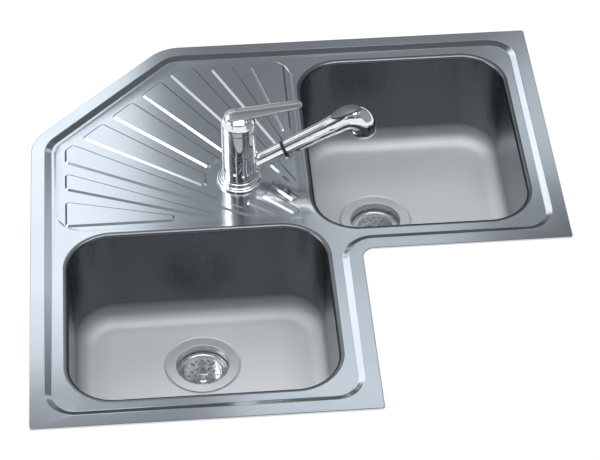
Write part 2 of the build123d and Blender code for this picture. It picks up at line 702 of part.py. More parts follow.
def waste_body():
    """The moulded body under the bowl, down to its threaded outlet."""
    outer = BODY_BORE + BODY_WALL
    bore = OUTLET_RADIUS - OUTLET_WALL
    flange_low = BODY_TOP - BODY_FLANGE_THICKNESS
    shell = turned(
        [
            (BODY_FLANGE, BODY_TOP),
            (BODY_BORE, BODY_TOP),
            (BODY_BORE, -BODY_DEPTH),
            (bore, OUTLET_TOP),
            (bore, OUTLET_TOP - OUTLET_LENGTH),
            (OUTLET_RADIUS, OUTLET_TOP - OUTLET_LENGTH),
            (OUTLET_RADIUS, OUTLET_TOP),
            (outer, -BODY_DEPTH - BODY_WALL),
            (outer, flange_low),
            (BODY_FLANGE, flange_low),
        ]
    )
    hub = disc(HUB_RADIUS, OUTLET_TOP, OUTLET_TOP + HUB_LENGTH)
    arm = box((-outer, -SPIDER_ARM / 2, OUTLET_TOP), (outer, SPIDER_ARM / 2, OUTLET_TOP + HUB_LENGTH / 2))
    inside = turned(
        [
            (0, -BODY_DEPTH),
            (BODY_BORE + BODY_WALL / 2, -BODY_DEPTH),
            (bore + OUTLET_WALL / 2, OUTLET_TOP),
            (0, OUTLET_TOP),
        ]
    )
    spider = (arm + Rot(0, 0, 90) * arm) & inside
    body = shell + hub + spider
    body -= disc(WASTE_SCREW + SCREW_SLIP, OUTLET_TOP, OUTLET_TOP + HUB_LENGTH)
    body -= hexagon(WASTE_NUT_FLATS + SCREW_SLIP, nut_floor(), OUTLET_TOP + HUB_LENGTH)
    return DRAIN * body


def nut_floor():
    """Height of the captive nut's seat in the hub."""
    return OUTLET_TOP + HUB_LENGTH - WASTE_NUT_HEIGHT


def waste_nut():
    """The captive nut in the body's hub."""
    nut = hexagon(WASTE_NUT_FLATS, nut_floor(), nut_floor() + WASTE_NUT_HEIGHT)
    return DRAIN * (nut - disc(WASTE_SCREW + THREAD_SLIP, nut_floor(), nut_floor() + WASTE_NUT_HEIGHT))


def waste_screw():
    """The screw that draws the well and the body together."""
    head = disc(WASTE_SCREW_HEAD, -CUP_DEPTH, -CUP_DEPTH + WASTE_SCREW_HEAD_HEIGHT)
    slot = box(
        (-WASTE_SCREW_HEAD, -SHEET, -CUP_DEPTH + WASTE_SCREW_HEAD_HEIGHT / 2),
        (WASTE_SCREW_HEAD, SHEET, -CUP_DEPTH + WASTE_SCREW_HEAD_HEIGHT),
    )
    return DRAIN * (head - slot + disc(WASTE_SCREW, OUTLET_TOP, -CUP_DEPTH))


def basket():
    """The lift-out basket: rolled rim, shoulder and perforated cup."""
    wall = BASKET_SHEET
    shoulder = SHOULDER_LOW + wall
    shell = turned(
        [
            (BASKET_RIM_RADIUS, -BASKET_RIM_DEPTH),
            (BASKET_RIM_RADIUS - 2 * wall, -BASKET_RIM_DEPTH),
            (BASKET_SHOULDER - 2 * wall, shoulder),
            (BASKET_CUP - wall, shoulder),
            (BASKET_CUP - wall, BASKET_FLOOR + wall),
            (0, BASKET_FLOOR + wall),
            (0, BASKET_FLOOR),
            (BASKET_CUP, BASKET_FLOOR),
            (BASKET_CUP, SHOULDER_LOW),
            (BASKET_SHOULDER, SHOULDER_LOW),
            (BASKET_RIM_RADIUS, -BASKET_RIM_DEPTH - wall),
        ]
    )
    floor_hole = disc(BASKET_HOLE, BASKET_FLOOR, BASKET_FLOOR + wall)
    side_hole = Rot(0, 90, 0) * Cylinder(BASKET_HOLE, 4 * wall)
    high = SHOULDER_LOW - BASKET_CUP_DROP / 3
    low = SHOULDER_LOW - 2 * BASKET_CUP_DROP / 3
    shell -= spokes(floor_hole, BASKET_FLOOR_HOLES, BASKET_FLOOR_RING)
    shell -= spokes(floor_hole, BASKET_INNER_HOLES, BASKET_INNER_RING)
    half_pitch = 180 / BASKET_SIDE_HOLES
    shell -= spokes(Pos(0, 0, high) * side_hole, BASKET_SIDE_HOLES, BASKET_CUP)
    shell -= spokes(Pos(0, 0, low) * side_hole, BASKET_SIDE_HOLES, BASKET_CUP, start=half_pitch)
    return DRAIN * (shell - disc(POST_RADIUS - SHEET, BASKET_FLOOR, BASKET_FLOOR + wall))


def basket_stopper():
    """The rubber ring under the basket's shoulder."""
    bore = BASKET_CUP + THREAD_SLIP
    return DRAIN * ring(BASKET_SHOULDER, bore, SHOULDER_LOW - STOPPER_THICKNESS, SHOULDER_LOW)


def basket_post():
    """The post and knob that lift the basket."""
    foot = BASKET_FLOOR + BASKET_SHEET
    top = foot + POST_HEIGHT
    post = turned(
        [
            (0, BASKET_FLOOR),
            (POST_RADIUS - SHEET, BASKET_FLOOR),
            (POST_RADIUS - SHEET, foot),
            (POST_FOOT, foot),
            (POST_FOOT, foot + SHEET),
            (POST_RADIUS, foot + 2 * SHEET),
            (POST_RADIUS, top - KNOB_HEIGHT),
            (KNOB_RADIUS, top - KNOB_HEIGHT),
            (KNOB_RADIUS, top),
            (0, top),
        ]
    )
    return DRAIN * fillet(circle_edges(post, KNOB_RADIUS, top), SHEET)


# ---- Tap: base, body and swivel --------------------------------------------------------
def tap_gasket():
    """The seal between the tap and the drainer."""
    return TAP * ring(BASE_RADIUS - BASE_SKIRT - GASKET_INSET, TAP_HOLE + GASKET_HOLE_GAP, 0, TAP_GASKET)


def tap_base_ring():
    """The chromed foot around the body, with a collar under the sleeve."""
    bore = CORE_RADIUS + RUNNING_GAP
    foot = turned(
        [
            (bore, TAP_GASKET),
            (BASE_RADIUS - BASE_SKIRT, TAP_GASKET),
            (BASE_RADIUS - BASE_SKIRT, BASE_SKIRT_GAP),
            (BASE_RADIUS, BASE_SKIRT_GAP),
            (BASE_RADIUS, BASE_FLANGE_TOP),
            (BASE_COLLAR, BASE_FLANGE_TOP),
            (BASE_COLLAR, BASE_COLLAR_TOP),
            (bore, BASE_COLLAR_TOP),
        ]
    )
    foot = fillet(circle_edges(foot, BASE_RADIUS, BASE_FLANGE_TOP), 2)
    foot = fillet(circle_edges(foot, BASE_COLLAR, BASE_FLANGE_TOP), 2)
    return TAP * fillet(circle_edges(foot, BASE_COLLAR, BASE_COLLAR_TOP), 1)


def window_face():
    """Sector that the hose sweeps as the spout swings, on Z = 0."""
    half = SWIVEL_HALF_RANGE + WINDOW_SPARE
    reach = CORE_RADIUS + 1
    arc = CenterArc((0, 0), reach, -90 - half, 2 * half)
    return make_face([arc, Line(arc @ 1, (0, 0)), Line((0, 0), arc @ 0)])


def tap_body():
    """The cast body: spigot with the ports, windowed core and cartridge housing."""
    body = disc(TAP_SPIGOT, -TAP_SPIGOT_DEPTH, TAP_GASKET)
    body += disc(CORE_RADIUS, TAP_GASKET, CARTRIDGE_BOTTOM)
    body += disc(COLUMN_RADIUS, HOUSING_BOTTOM, HOUSING_TOP)
    body -= disc(CHAMBER_RADIUS, CHAMBER_FLOOR, CHAMBER_TOP)
    body -= disc(CARTRIDGE_BORE, CARTRIDGE_BOTTOM, CARTRIDGE_TOP)
    body -= disc(HOUSING_THREAD, CARTRIDGE_TOP, HOUSING_TOP)
    body -= slab(window_face(), WINDOW_BOTTOM, WINDOW_TOP)
    port = disc(PORT_RADIUS, -TAP_SPIGOT_DEPTH, PORT_DEPTH - TAP_SPIGOT_DEPTH)
    body -= Pos(-PORT_SPACING, PORT_OFFSET, 0) * port
    body -= Pos(PORT_SPACING, PORT_OFFSET, 0) * port
    body -= Pos(0, MIXED_OFFSET, 0) * port
    body -= Pos(0, -HOSE_CHANNEL_OFFSET, 0) * disc(HOSE_CHANNEL, -TAP_SPIGOT_DEPTH, CHAMBER_FLOOR)
    body -= Pos(0, STUD_OFFSET, 0) * disc(STUD_RADIUS + THREAD_SLIP, -TAP_SPIGOT_DEPTH, STUD_TOP)
    return BODY * body


def swivel_bush_lower():
    """The plain bush under the sleeve's lower end."""
    return TAP * ring(SLEEVE_BORE - RUNNING_GAP, CORE_RADIUS + RUNNING_GAP, BASE_COLLAR_TOP, LOWER_BUSH_TOP)


def swivel_bush_upper():
    """The flanged bush between the sleeve and the housing."""
    bore = CORE_RADIUS + RUNNING_GAP
    low = SLEEVE_TOP + RUNNING_GAP
    tube = ring(SLEEVE_BORE - RUNNING_GAP, bore, UPPER_BUSH_BOTTOM, low)
    return TAP * (tube + ring(UPPER_BUSH_FLANGE, bore, low, HOUSING_BOTTOM - RUNNING_GAP))


def spout_sleeve():
    """The sleeve that swings on the core, with the rising arm."""
    tilt = Pos(0, 0, ARM_HEIGHT) * Rot(0, 90 - ARM_RISE, 0)
    sleeve = disc(COLUMN_RADIUS, -COLUMN_RADIUS, SLEEVE_TOP)
    arm = tilt * disc(ARM_RADIUS, 0, ARM_END)
    joined = sleeve + arm
    root = [
        edge
        for edge in joined.edges()
        if edge.geom_type not in (GeomType.CIRCLE, GeomType.LINE)
    ]
    joined = fillet(root, ARM_ROOT_BLEND)
    joined -= disc(3 * COLUMN_RADIUS, -2 * COLUMN_RADIUS, SLEEVE_BOTTOM)
    joined -= disc(SLEEVE_BORE, SLEEVE_BOTTOM, SLEEVE_TOP)
    joined -= tilt * disc(ARM_BORE, 0, ARM_END)
    return SPOUT * joined


def spout_seam_ring():
    """The black ring that the handset docks against."""
    ring_end = ARM_END + SEAM_RING_LENGTH
    spigot = ring(ARM_BORE - RUNNING_GAP, SEAM_BORE, ARM_END - SEAM_SPIGOT_LENGTH, ARM_END)
    return ARM * (spigot + ring(SEAM_RING_RADIUS, SEAM_BORE, ARM_END, ring_end))


# ---- Pull-out handset, in the spout's frame --------------------------------------------
HANDSET_START = ARM_END + SEAM_RING_LENGTH + SEAM_GAP
NUT_START = HANDSET_START + SEAM_GAP
NUT_END = NUT_START + HOSE_NUT_LENGTH
BEND_START = HANDSET_START + GRIP_END
RISE = math.radians(ARM_RISE)
BEND_X = BEND_START * math.cos(RISE) + BEND_RADIUS * math.sin(RISE)
BEND_Z = ARM_HEIGHT + BEND_START * math.sin(RISE) - BEND_RADIUS * math.cos(RISE)
NOZZLE_X = BEND_X + BEND_RADIUS
SHELL_BOTTOM = BEND_Z - HEAD_STATIONS[-1][0]


def arm_point(distance):
    """A point on the arm's axis, in the spout's frame."""
    return (distance * math.cos(RISE), 0, ARM_HEIGHT + distance * math.sin(RISE))


def shell_sections(shrink):
    """Circles that the handset's skin runs through, each smaller by a margin."""
    stations = GRIP_STATIONS + [GRIP_BEFORE_END, (GRIP_END, GRIP_END_RADIUS)]
    along = (math.cos(RISE), 0, math.sin(RISE))
    sections = []
    for distance, radius in stations:
        plane = Plane(origin=arm_point(HANDSET_START + distance), x_dir=(0, 1, 0), z_dir=along)
        sections.append(plane * Circle(radius - shrink))
    for angle, radius in BEND_STATIONS:
        turn = math.radians(angle)
        origin = (BEND_X - BEND_RADIUS * math.sin(turn), 0, BEND_Z + BEND_RADIUS * math.cos(turn))
        plane = Plane(origin=origin, x_dir=(0, 1, 0), z_dir=(math.cos(turn), 0, math.sin(turn)))
        sections.append(plane * Circle(radius - shrink))
    return sections


def head_end(shrink, bottom):
    """The round end of the head under the bend, down to a height."""
    top = BEND_STATIONS[-1][1] - shrink
    points = [(radius - shrink, BEND_Z - drop) for drop, radius in HEAD_STATIONS]
    side = Spline((top, 0, BEND_Z), *[(r, 0, z) for r, z in points], tangents=[(0, 0, -1), (-1, 0, -0.6)])
    low = side @ 1
    rim = Polyline(low, (0, 0, low.Z), (0, 0, BEND_Z), (top, 0, BEND_Z))
    end = Pos(NOZZLE_X, 0, 0) * revolve(make_face([side, *rim.edges()]), Axis.Z)
    return end - Pos(NOZZLE_X, 0, 0) * disc(BASE_RADIUS, bottom - BASE_RADIUS, bottom)


def handset_skin(shrink):
    """The handset as a full solid, its skin moved in by a margin."""
    return loft(shell_sections(shrink)) + head_end(shrink, SHELL_BOTTOM)


def rocker_frame():
    """Frame of the rocker: +X along it, +Z out of the handset."""
    return Pos(ROCKER_REACH, 0, ROCKER_HEIGHT) * Rot(0, -ROCKER_TILT, 0)


def rocker_prism(grow, dip):
    """The rocker's oval, grown by a gap, from a dip under the rocker to high above the skin."""
    oval = Ellipse(ROCKER_LENGTH / 2 + grow, ROCKER_WIDTH / 2 + grow)
    return rocker_frame() * slab(oval, -dip, ROCKER_WIDTH)


def rocker_pin_hole(radius):
    """The rocker pin's cylinder, across the handset."""
    return rocker_frame() * Pos(0, 0, ROCKER_PIN_LIFT) * Rot(90, 0, 0) * Cylinder(radius, 2 * ROCKER_PIN_HALF)


def handset_shell():
    """The hollow handset: grip, bend and head, open for the rocker and the nozzle."""
    shell = handset_skin(0) - handset_skin(HANDSET_WALL)
    shell -= rocker_prism(ROCKER_GAP, ROCKER_DIP)
    shell -= rocker_pin_hole(ROCKER_PIN + PIN_SLIP)
    shell -= Pos(NOZZLE_X, 0, 0) * disc(NOZZLE_RADIUS + NOZZLE_GAP, SHELL_BOTTOM - 1, BEND_Z)
    return SPOUT * shell


def spray_rocker():
    """The grey oval pad that picks jet or spray."""
    pad = rocker_prism(0, 0) & loft(shell_sections(-ROCKER_PROUD))
    return SPOUT * (pad - rocker_pin_hole(ROCKER_PIN + PIN_SLIP))


def rocker_pin():
    """The pin that the rocker turns on."""
    return SPOUT * rocker_pin_hole(ROCKER_PIN)


def hose_nut():
    """The swivel nut that joins the hose to the handset."""
    nut = disc(ARM_RADIUS - HANDSET_WALL - HOSE_NUT_WALL_GAP, NUT_START, NUT_END)
    return ARM * (nut - disc(HOSE_RADIUS, NUT_START, NUT_END - HOSE_NUT_LENGTH / 6))


def spray_hose():
    """The straight length of hose that lies inside the arm."""
    return ARM * disc(HOSE_RADIUS, HOSE_START, NUT_END - HOSE_NUT_LENGTH / 6)


def handset_waterway():
    """The tube from the hose nut round the bend to the diverter."""
    start = Vector(*arm_point(NUT_END))
    bend = Vector(*arm_point(BEND_START))
    line = Line(start, bend)
    middle = math.radians((ARM_RISE - 90) / 2)
    through = (BEND_X - BEND_RADIUS * math.sin(middle), 0, BEND_Z + BEND_RADIUS * math.cos(middle))
    arc = ThreePointArc(bend, through, (NOZZLE_X, 0, BEND_Z))
    plane = Plane(origin=start, x_dir=(0, 1, 0), z_dir=(math.cos(RISE), 0, math.sin(RISE)))
    path = Wire([line, arc])
    tube = sweep(plane * Circle(WATERWAY_RADIUS), path=path)
    tube -= sweep(plane * Circle(WATERWAY_RADIUS - WATERWAY_WALL), path=path)
    return SPOUT * tube


def diverter_block():
    """The valve block between the waterway and the nozzle."""
    low = SHELL_BOTTOM - NOZZLE_PROUD + NOZZLE_RING_HEIGHT
    return SPOUT * Pos(NOZZLE_X, 0, 0) * disc(DIVERTER_RADIUS, low, BEND_Z)


def nozzle_ring():
    """The black ring that holds the spray face."""
    low = SHELL_BOTTOM - NOZZLE_PROUD
    face_top = low + NOZZLE_GAP + NOZZLE_FACE_HEIGHT
    body = disc(NOZZLE_RADIUS, low, low + NOZZLE_RING_HEIGHT)
    body -= disc(NOZZLE_FACE_RADIUS + NOZZLE_GAP, low, face_top)
    body -= disc(AERATOR_RADIUS, face_top, low + NOZZLE_RING_HEIGHT)
    return SPOUT * Pos(NOZZLE_X, 0, 0) * body


def nozzle_face():
    """The soft spray face with its ring of jets and the aerator."""
    low = SHELL_BOTTOM - NOZZLE_PROUD + NOZZLE_GAP
    high = low + NOZZLE_FACE_HEIGHT
    face = disc(NOZZLE_FACE_RADIUS, low, high)
    face -= spokes(disc(SPRAY_HOLE, low, high), SPRAY_HOLE_COUNT, SPRAY_HOLE_RING)
    face -= disc(AERATOR_RADIUS, low, low + AERATOR_DEPTH)
    return SPOUT * Pos(NOZZLE_X, 0, 0) * face


# ---- Cartridge, cap and lever, in the spout's frame --------------------------------------
def cartridge():
    """The ceramic cartridge's case, with a recess for the turning carrier."""
    case = disc(CARTRIDGE_RADIUS, CARTRIDGE_BOTTOM, CARTRIDGE_TOP)
    return SPOUT * (case - disc(CARTRIDGE_RECESS, CARTRIDGE_RECESS_FLOOR, CARTRIDGE_TOP))


def cartridge_nut():
    """The threaded ring that clamps the cartridge."""
    return SPOUT * ring(NUT_RADIUS, NUT_BORE, CARTRIDGE_TOP, NUT_TOP)


def cross_pin(radius, length):
    """A cylinder across the lever through the pivot."""
    return Pos(0, 0, PIVOT_HEIGHT) * Rot(90, 0, 0) * Cylinder(radius, length)


def stem_carrier():
    """The part of the cartridge that turns with the lever."""
    half = STEM_SIZE / 2 + STEM_SLIP
    body = disc(CARRIER_RADIUS, CARTRIDGE_RECESS_FLOOR + CARRIER_GAP, CARRIER_TOP)
    body -= box(
        (-CARRIER_SLOT_HALF, -half, PIVOT_HEIGHT - CARRIER_SLOT_DEPTH),
        (CARRIER_SLOT_HALF, half, CARRIER_TOP),
    )
    return SPOUT * (body - cross_pin(PIVOT_PIN + PIN_SLIP, 2 * CARRIER_RADIUS))


def pivot_pin():
    """The pin that the stem tips on."""
    return SPOUT * cross_pin(PIVOT_PIN, 2 * CARRIER_RADIUS - 2 * SHEET)


def cartridge_stem():
    """The square stem between the cartridge and the lever."""
    half = STEM_SIZE / 2
    stem = box((-half, -half, STEM_BOTTOM), (half, half, STEM_TOP))
    return SPOUT * (stem - cross_pin(PIVOT_PIN + PIN_SLIP, STEM_SIZE))


def cap_ring():
    """The rounded chrome ring on top of the column."""
    low = HOUSING_TOP + CAP_GAP
    cap = turned(
        [
            (CAP_BORE, NUT_TOP),
            (HOUSING_THREAD - CAP_GAP, NUT_TOP),
            (HOUSING_THREAD - CAP_GAP, low),
            (COLUMN_RADIUS, low),
            (COLUMN_RADIUS, CAP_SHOULDER),
            (CAP_TOP_RADIUS, CAP_TOP),
            (CAP_MOUTH, CAP_TOP),
            (CAP_MOUTH, CAP_SHOULDER),
            (CAP_BORE, CAP_SHOULDER),
        ]
    )
    return TAP * fillet(circle_edges(cap, COLUMN_RADIUS, CAP_SHOULDER), CAP_EDGE_BLEND)


def dome_cap():
    """The domed cover that turns with the lever, slotted for its boss."""
    outer = CAP_MOUTH - DOME_SKIRT_GAP
    inner = outer - DOME_WALL
    inside = DOME_RADIUS - DOME_WALL
    low = CAP_SHOULDER + DOME_SKIRT_GAP
    brow = (outer, 0, PIVOT_HEIGHT + math.sqrt(DOME_RADIUS**2 - outer**2))
    crown = (0, 0, PIVOT_HEIGHT + DOME_RADIUS)
    under = (0, 0, PIVOT_HEIGHT + inside)
    root = (inner, 0, PIVOT_HEIGHT + math.sqrt(inside**2 - inner**2))
    profile = [
        Line((inner, 0, low), (outer, 0, low)),
        Line((outer, 0, low), brow),
        TangentArc(crown, brow, tangent=(1, 0, 0), tangent_from_first=True),
        Line(crown, under),
        TangentArc(under, root, tangent=(1, 0, 0), tangent_from_first=True),
        Line(root, (inner, 0, low)),
    ]
    shell = revolve(make_face(profile), Axis.Z)
    slot = box(
        (-DOME_SLOT_BACK, -DOME_SLOT_HALF, low),
        (DOME_SLOT_FRONT, DOME_SLOT_HALF, PIVOT_HEIGHT + 2 * DOME_RADIUS),
    )
    return SPOUT * (shell - slot)


def lever_plan():
    """The lever seen from above, on Z = 0."""
    near = [LEVER_HEEL] + LEVER_PLAN + [LEVER_NOSE]
    side = Spline(*[(t, -w) for t, w in near])
    far = Spline(*[(t, w) for t, w in near])
    nose = ThreePointArc((LEVER_NOSE[0], -LEVER_NOSE[1]), (LEVER_TIP, 0), LEVER_NOSE)
    heel = Line((LEVER_HEEL[0], -LEVER_HEEL[1]), LEVER_HEEL)
    return make_face([side, nose, far, heel])


def lever():
    """The flat lever, hollowed under its hub to clear the dome."""
    blade = slab(lever_plan(), LEVER_HEEL_BOTTOM, LEVER_TOP)
    blade = fillet(blade.edges().group_by(Axis.Z)[-1], LEVER_TOP_BLEND)
    hub_end = LEVER_PLAN[3][0]
    under = Polyline(
        (LEVER_HEEL[0], 0, LEVER_HEEL_BOTTOM),
        (LEVER_HEEL[0] / 2, 0, LEVER_BOTTOM),
        (hub_end, 0, LEVER_BOTTOM),
        (LEVER_TIP, 0, LEVER_TIP_BOTTOM),
        (LEVER_TIP, 0, BOSS_BOTTOM),
        (LEVER_HEEL[0], 0, BOSS_BOTTOM),
        close=True,
    )
    blade -= extrude(make_face(under), amount=2 * BOSS_SIZE, dir=(0, 1, 0), both=True)
    blade -= Pos(0, 0, PIVOT_HEIGHT) * Sphere(DOME_RADIUS + LEVER_CLEAR)
    half = BOSS_SIZE / 2
    blade += box((-half, -half, BOSS_BOTTOM), (half, half, LEVER_TOP - LEVER_TOP_BLEND))
    socket = STEM_SIZE / 2 + SOCKET_SLIP
    blade -= box((-socket, -socket, BOSS_BOTTOM), (socket, socket, STEM_TOP + SOCKET_HEADROOM))
    blade -= grub_cylinder(GRUB_RADIUS + PIN_SLIP, STEM_SIZE / 2, 2 * BOSS_SIZE)
    blade -= grub_cylinder(PLUG_RADIUS + PIN_SLIP, plug_start() - PLUG_GAP, 2 * BOSS_SIZE)
    return SPOUT * blade


def grub_cylinder(radius, start, end):
    """A cylinder across the hub on the grub screw's axis."""
    return Pos(0, (start + end) / 2, GRUB_HEIGHT) * Rot(90, 0, 0) * Cylinder(radius, end - start)


def plug_start():
    """Where the cover plug begins, outside the grub screw."""
    return STEM_SIZE / 2 + GRUB_LENGTH + PLUG_GAP


def lever_screw():
    """The grub screw that holds the lever on the stem."""
    return SPOUT * grub_cylinder(GRUB_RADIUS, STEM_SIZE / 2, STEM_SIZE / 2 + GRUB_LENGTH)


def lever_plug():
    """The cover plug over the grub screw."""
    return SPOUT * grub_cylinder(PLUG_RADIUS, plug_start(), plug_start() + PLUG_LENGTH)


# ---- Fixing under the tap ----------------------------------------------------------------
def horseshoe(outer, bore, slot_end, low, high):
    """A round plate with a slot that opens towards the inner corner."""
    plate = disc(outer, low, high)
    if bore:
        plate -= disc(bore, low, high)
    return plate - box((-PLATE_SLOT_HALF, -2 * outer, low), (PLATE_SLOT_HALF, slot_end, high))


PLATE_TOP = -SHEET - STABILISER_HEIGHT
PLATE_LOW = PLATE_TOP - PLATE_THICKNESS


def stabiliser_pad():
    """The plastic spacer that spreads the load under the thin steel."""
    return BODY * horseshoe(STABILISER_RADIUS, TAP_SPIGOT + STABILISER_GAP, 0, PLATE_TOP, -SHEET)


def horseshoe_plate():
    """The steel plate that the stud pulls up."""
    hole = Pos(0, STUD_OFFSET, 0) * disc(STUD_RADIUS + CLIP_SLIP, PLATE_LOW, PLATE_TOP)
    return BODY * (horseshoe(PLATE_RADIUS, 0, PLATE_SLOT_END, PLATE_LOW, PLATE_TOP) - hole)


def fixing_stud():
    """The threaded stud that hangs from the body."""
    return BODY * Pos(0, STUD_OFFSET, 0) * disc(STUD_RADIUS, -STUD_BOTTOM, STUD_TOP)


def stud_nut():
    """The nut under the horseshoe plate."""
    low = PLATE_LOW - STUD_NUT_HEIGHT
    nut = hexagon(STUD_NUT_FLATS, low, PLATE_LOW) - disc(STUD_RADIUS + THREAD_SLIP, low, PLATE_LOW)
    return BODY * Pos(0, STUD_OFFSET, 0) * nut


# ---- All pieces ----------------------------------------------------------------------------
TWICE = [
    left_bowl,
    left_sound_pad,
    strainer_flange,
    flange_gasket,
    waste_gasket,
    waste_body,
    waste_nut,
    waste_screw,
    basket,
    basket_stopper,
    basket_post,
]
ONCE = [
    sink_deck,
    rim_seal,
    tap_gasket,
    tap_base_ring,
    tap_body,
    swivel_bush_lower,
    swivel_bush_upper,
    spout_sleeve,
    spout_seam_ring,
    handset_shell,
    spray_rocker,
    rocker_pin,
    hose_nut,
    spray_hose,
    handset_waterway,
    diverter_block,
    nozzle_ring,
    nozzle_face,
    cartridge,
    cartridge_nut,
    stem_carrier,
    pivot_pin,
    cartridge_stem,
    cap_ring,
    dome_cap,
    lever,
    lever_screw,
    lever_plug,
    stabiliser_pad,
    horseshoe_plate,
    fixing_stud,
    stud_nut,
]
CLIP_PIECES = {"clip_rails": clip_rail, "clip_hooks": clip_hook, "clip_screws": clip_screw}


def save(name, shape):
    """Write one node's file."""
    shape.label = name
    export_step(shape, f"parts/{name}.step")


def main():
    os.makedirs("parts", exist_ok=True)
    for make in ONCE:
        save(make.__name__, make())
    for make in TWICE:
        piece = make()
        name = make.__name__.removeprefix("left_")
        save(f"left_{name}", piece)
        save(f"right_{name}", to_right(piece))
    for name, make in CLIP_PIECES.items():
        piece = make()
        save(name, group([place * piece for place in clip_places()]))


if __name__ == "__main__":
    main()
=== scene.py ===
"""Looks for a corner kitchen sink with two bowls, a ribbed drainer and a pull-out spray tap.

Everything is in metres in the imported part's frame: +X right, +Y back, +Z up, with the origin at the
inner corner of the L on the worktop plane.
"""

import json
import logging
import math
from dataclasses import dataclass
from enum import Enum
from typing import Sequence

import bmesh
import bpy
from mathutils import Matrix, Vector

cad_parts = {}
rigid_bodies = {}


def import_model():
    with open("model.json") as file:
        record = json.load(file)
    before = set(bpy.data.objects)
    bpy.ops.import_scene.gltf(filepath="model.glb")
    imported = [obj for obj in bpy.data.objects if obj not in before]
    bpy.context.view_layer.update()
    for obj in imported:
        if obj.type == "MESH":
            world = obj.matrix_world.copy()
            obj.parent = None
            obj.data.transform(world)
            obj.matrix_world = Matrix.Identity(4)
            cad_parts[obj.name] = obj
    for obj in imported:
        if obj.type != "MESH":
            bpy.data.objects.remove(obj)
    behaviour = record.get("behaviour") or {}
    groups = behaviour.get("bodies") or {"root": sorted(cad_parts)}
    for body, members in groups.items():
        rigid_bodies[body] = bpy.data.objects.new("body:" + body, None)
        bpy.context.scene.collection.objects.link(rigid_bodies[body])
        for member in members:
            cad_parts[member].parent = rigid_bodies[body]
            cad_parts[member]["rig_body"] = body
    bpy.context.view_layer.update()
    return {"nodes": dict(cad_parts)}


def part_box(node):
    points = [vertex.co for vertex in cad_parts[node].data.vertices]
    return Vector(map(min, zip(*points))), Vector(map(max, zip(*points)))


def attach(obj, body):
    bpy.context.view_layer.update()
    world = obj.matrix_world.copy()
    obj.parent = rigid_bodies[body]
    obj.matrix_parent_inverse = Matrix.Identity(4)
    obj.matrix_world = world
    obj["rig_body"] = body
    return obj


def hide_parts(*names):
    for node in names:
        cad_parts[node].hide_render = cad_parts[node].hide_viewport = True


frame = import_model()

LOG = logging.getLogger("corner_sink")
MM = 0.001
Colour = tuple[float, float, float]
Span = tuple[float, float]
Point = tuple[float, float, float]

# Sockets of the colour Mix node, which share their names with its number and vector sockets.
MIX_AMOUNT = 0
MIX_FIRST = 6
MIX_SECOND = 7
MIX_RESULT = 2


class Side(Enum):
    """The two mirrored halves of the sink."""

    LEFT = "left"
    RIGHT = "right"

    def node(self, piece: str) -> str:
        """Name of this side's CAD node for a piece."""
        return f"{self.value}_{piece}"


class Slot(Enum):
    """The record's material slots that the new pieces take."""

    DECK = "deck_steel"
    BOWL = "bowl_steel"
    POLISHED = "polished_steel"
    CHROME = "chrome"
    SATIN_GREY = "satin_grey"
    BLACK_PLASTIC = "black_plastic"
    WHITE_PLASTIC = "white_plastic"
    GREY_PLASTIC = "grey_plastic"
    CHROMED_PLASTIC = "chromed_plastic"


# ---- Shader effects that several finishes share -----------------------------------------
class Effect(Enum):
    """Node groups that finishes place with their own values."""

    GRAIN = "drawn_grain"  # fine lines left by drawing and brushing sheet
    MARKS = "handling_marks"  # soft patches where a surface is handled, wiped or dried
    SKIN = "moulded_skin"  # the fine orange-peel skin of a moulding or a casting


@dataclass(frozen=True)
class Noise:
    """An effect's noise, and the span of it that its pattern stretches to 0 to 1."""

    detail: float
    roughness: float
    span: Span
    distortion: float = 0.0


NOISES = {
    Effect.GRAIN: Noise(3.0, 0.65, (0.3, 0.7)),
    Effect.MARKS: Noise(2.0, 0.5, (0.35, 0.65), 0.6),
    Effect.SKIN: Noise(4.0, 0.6, (0.3, 0.7)),
}


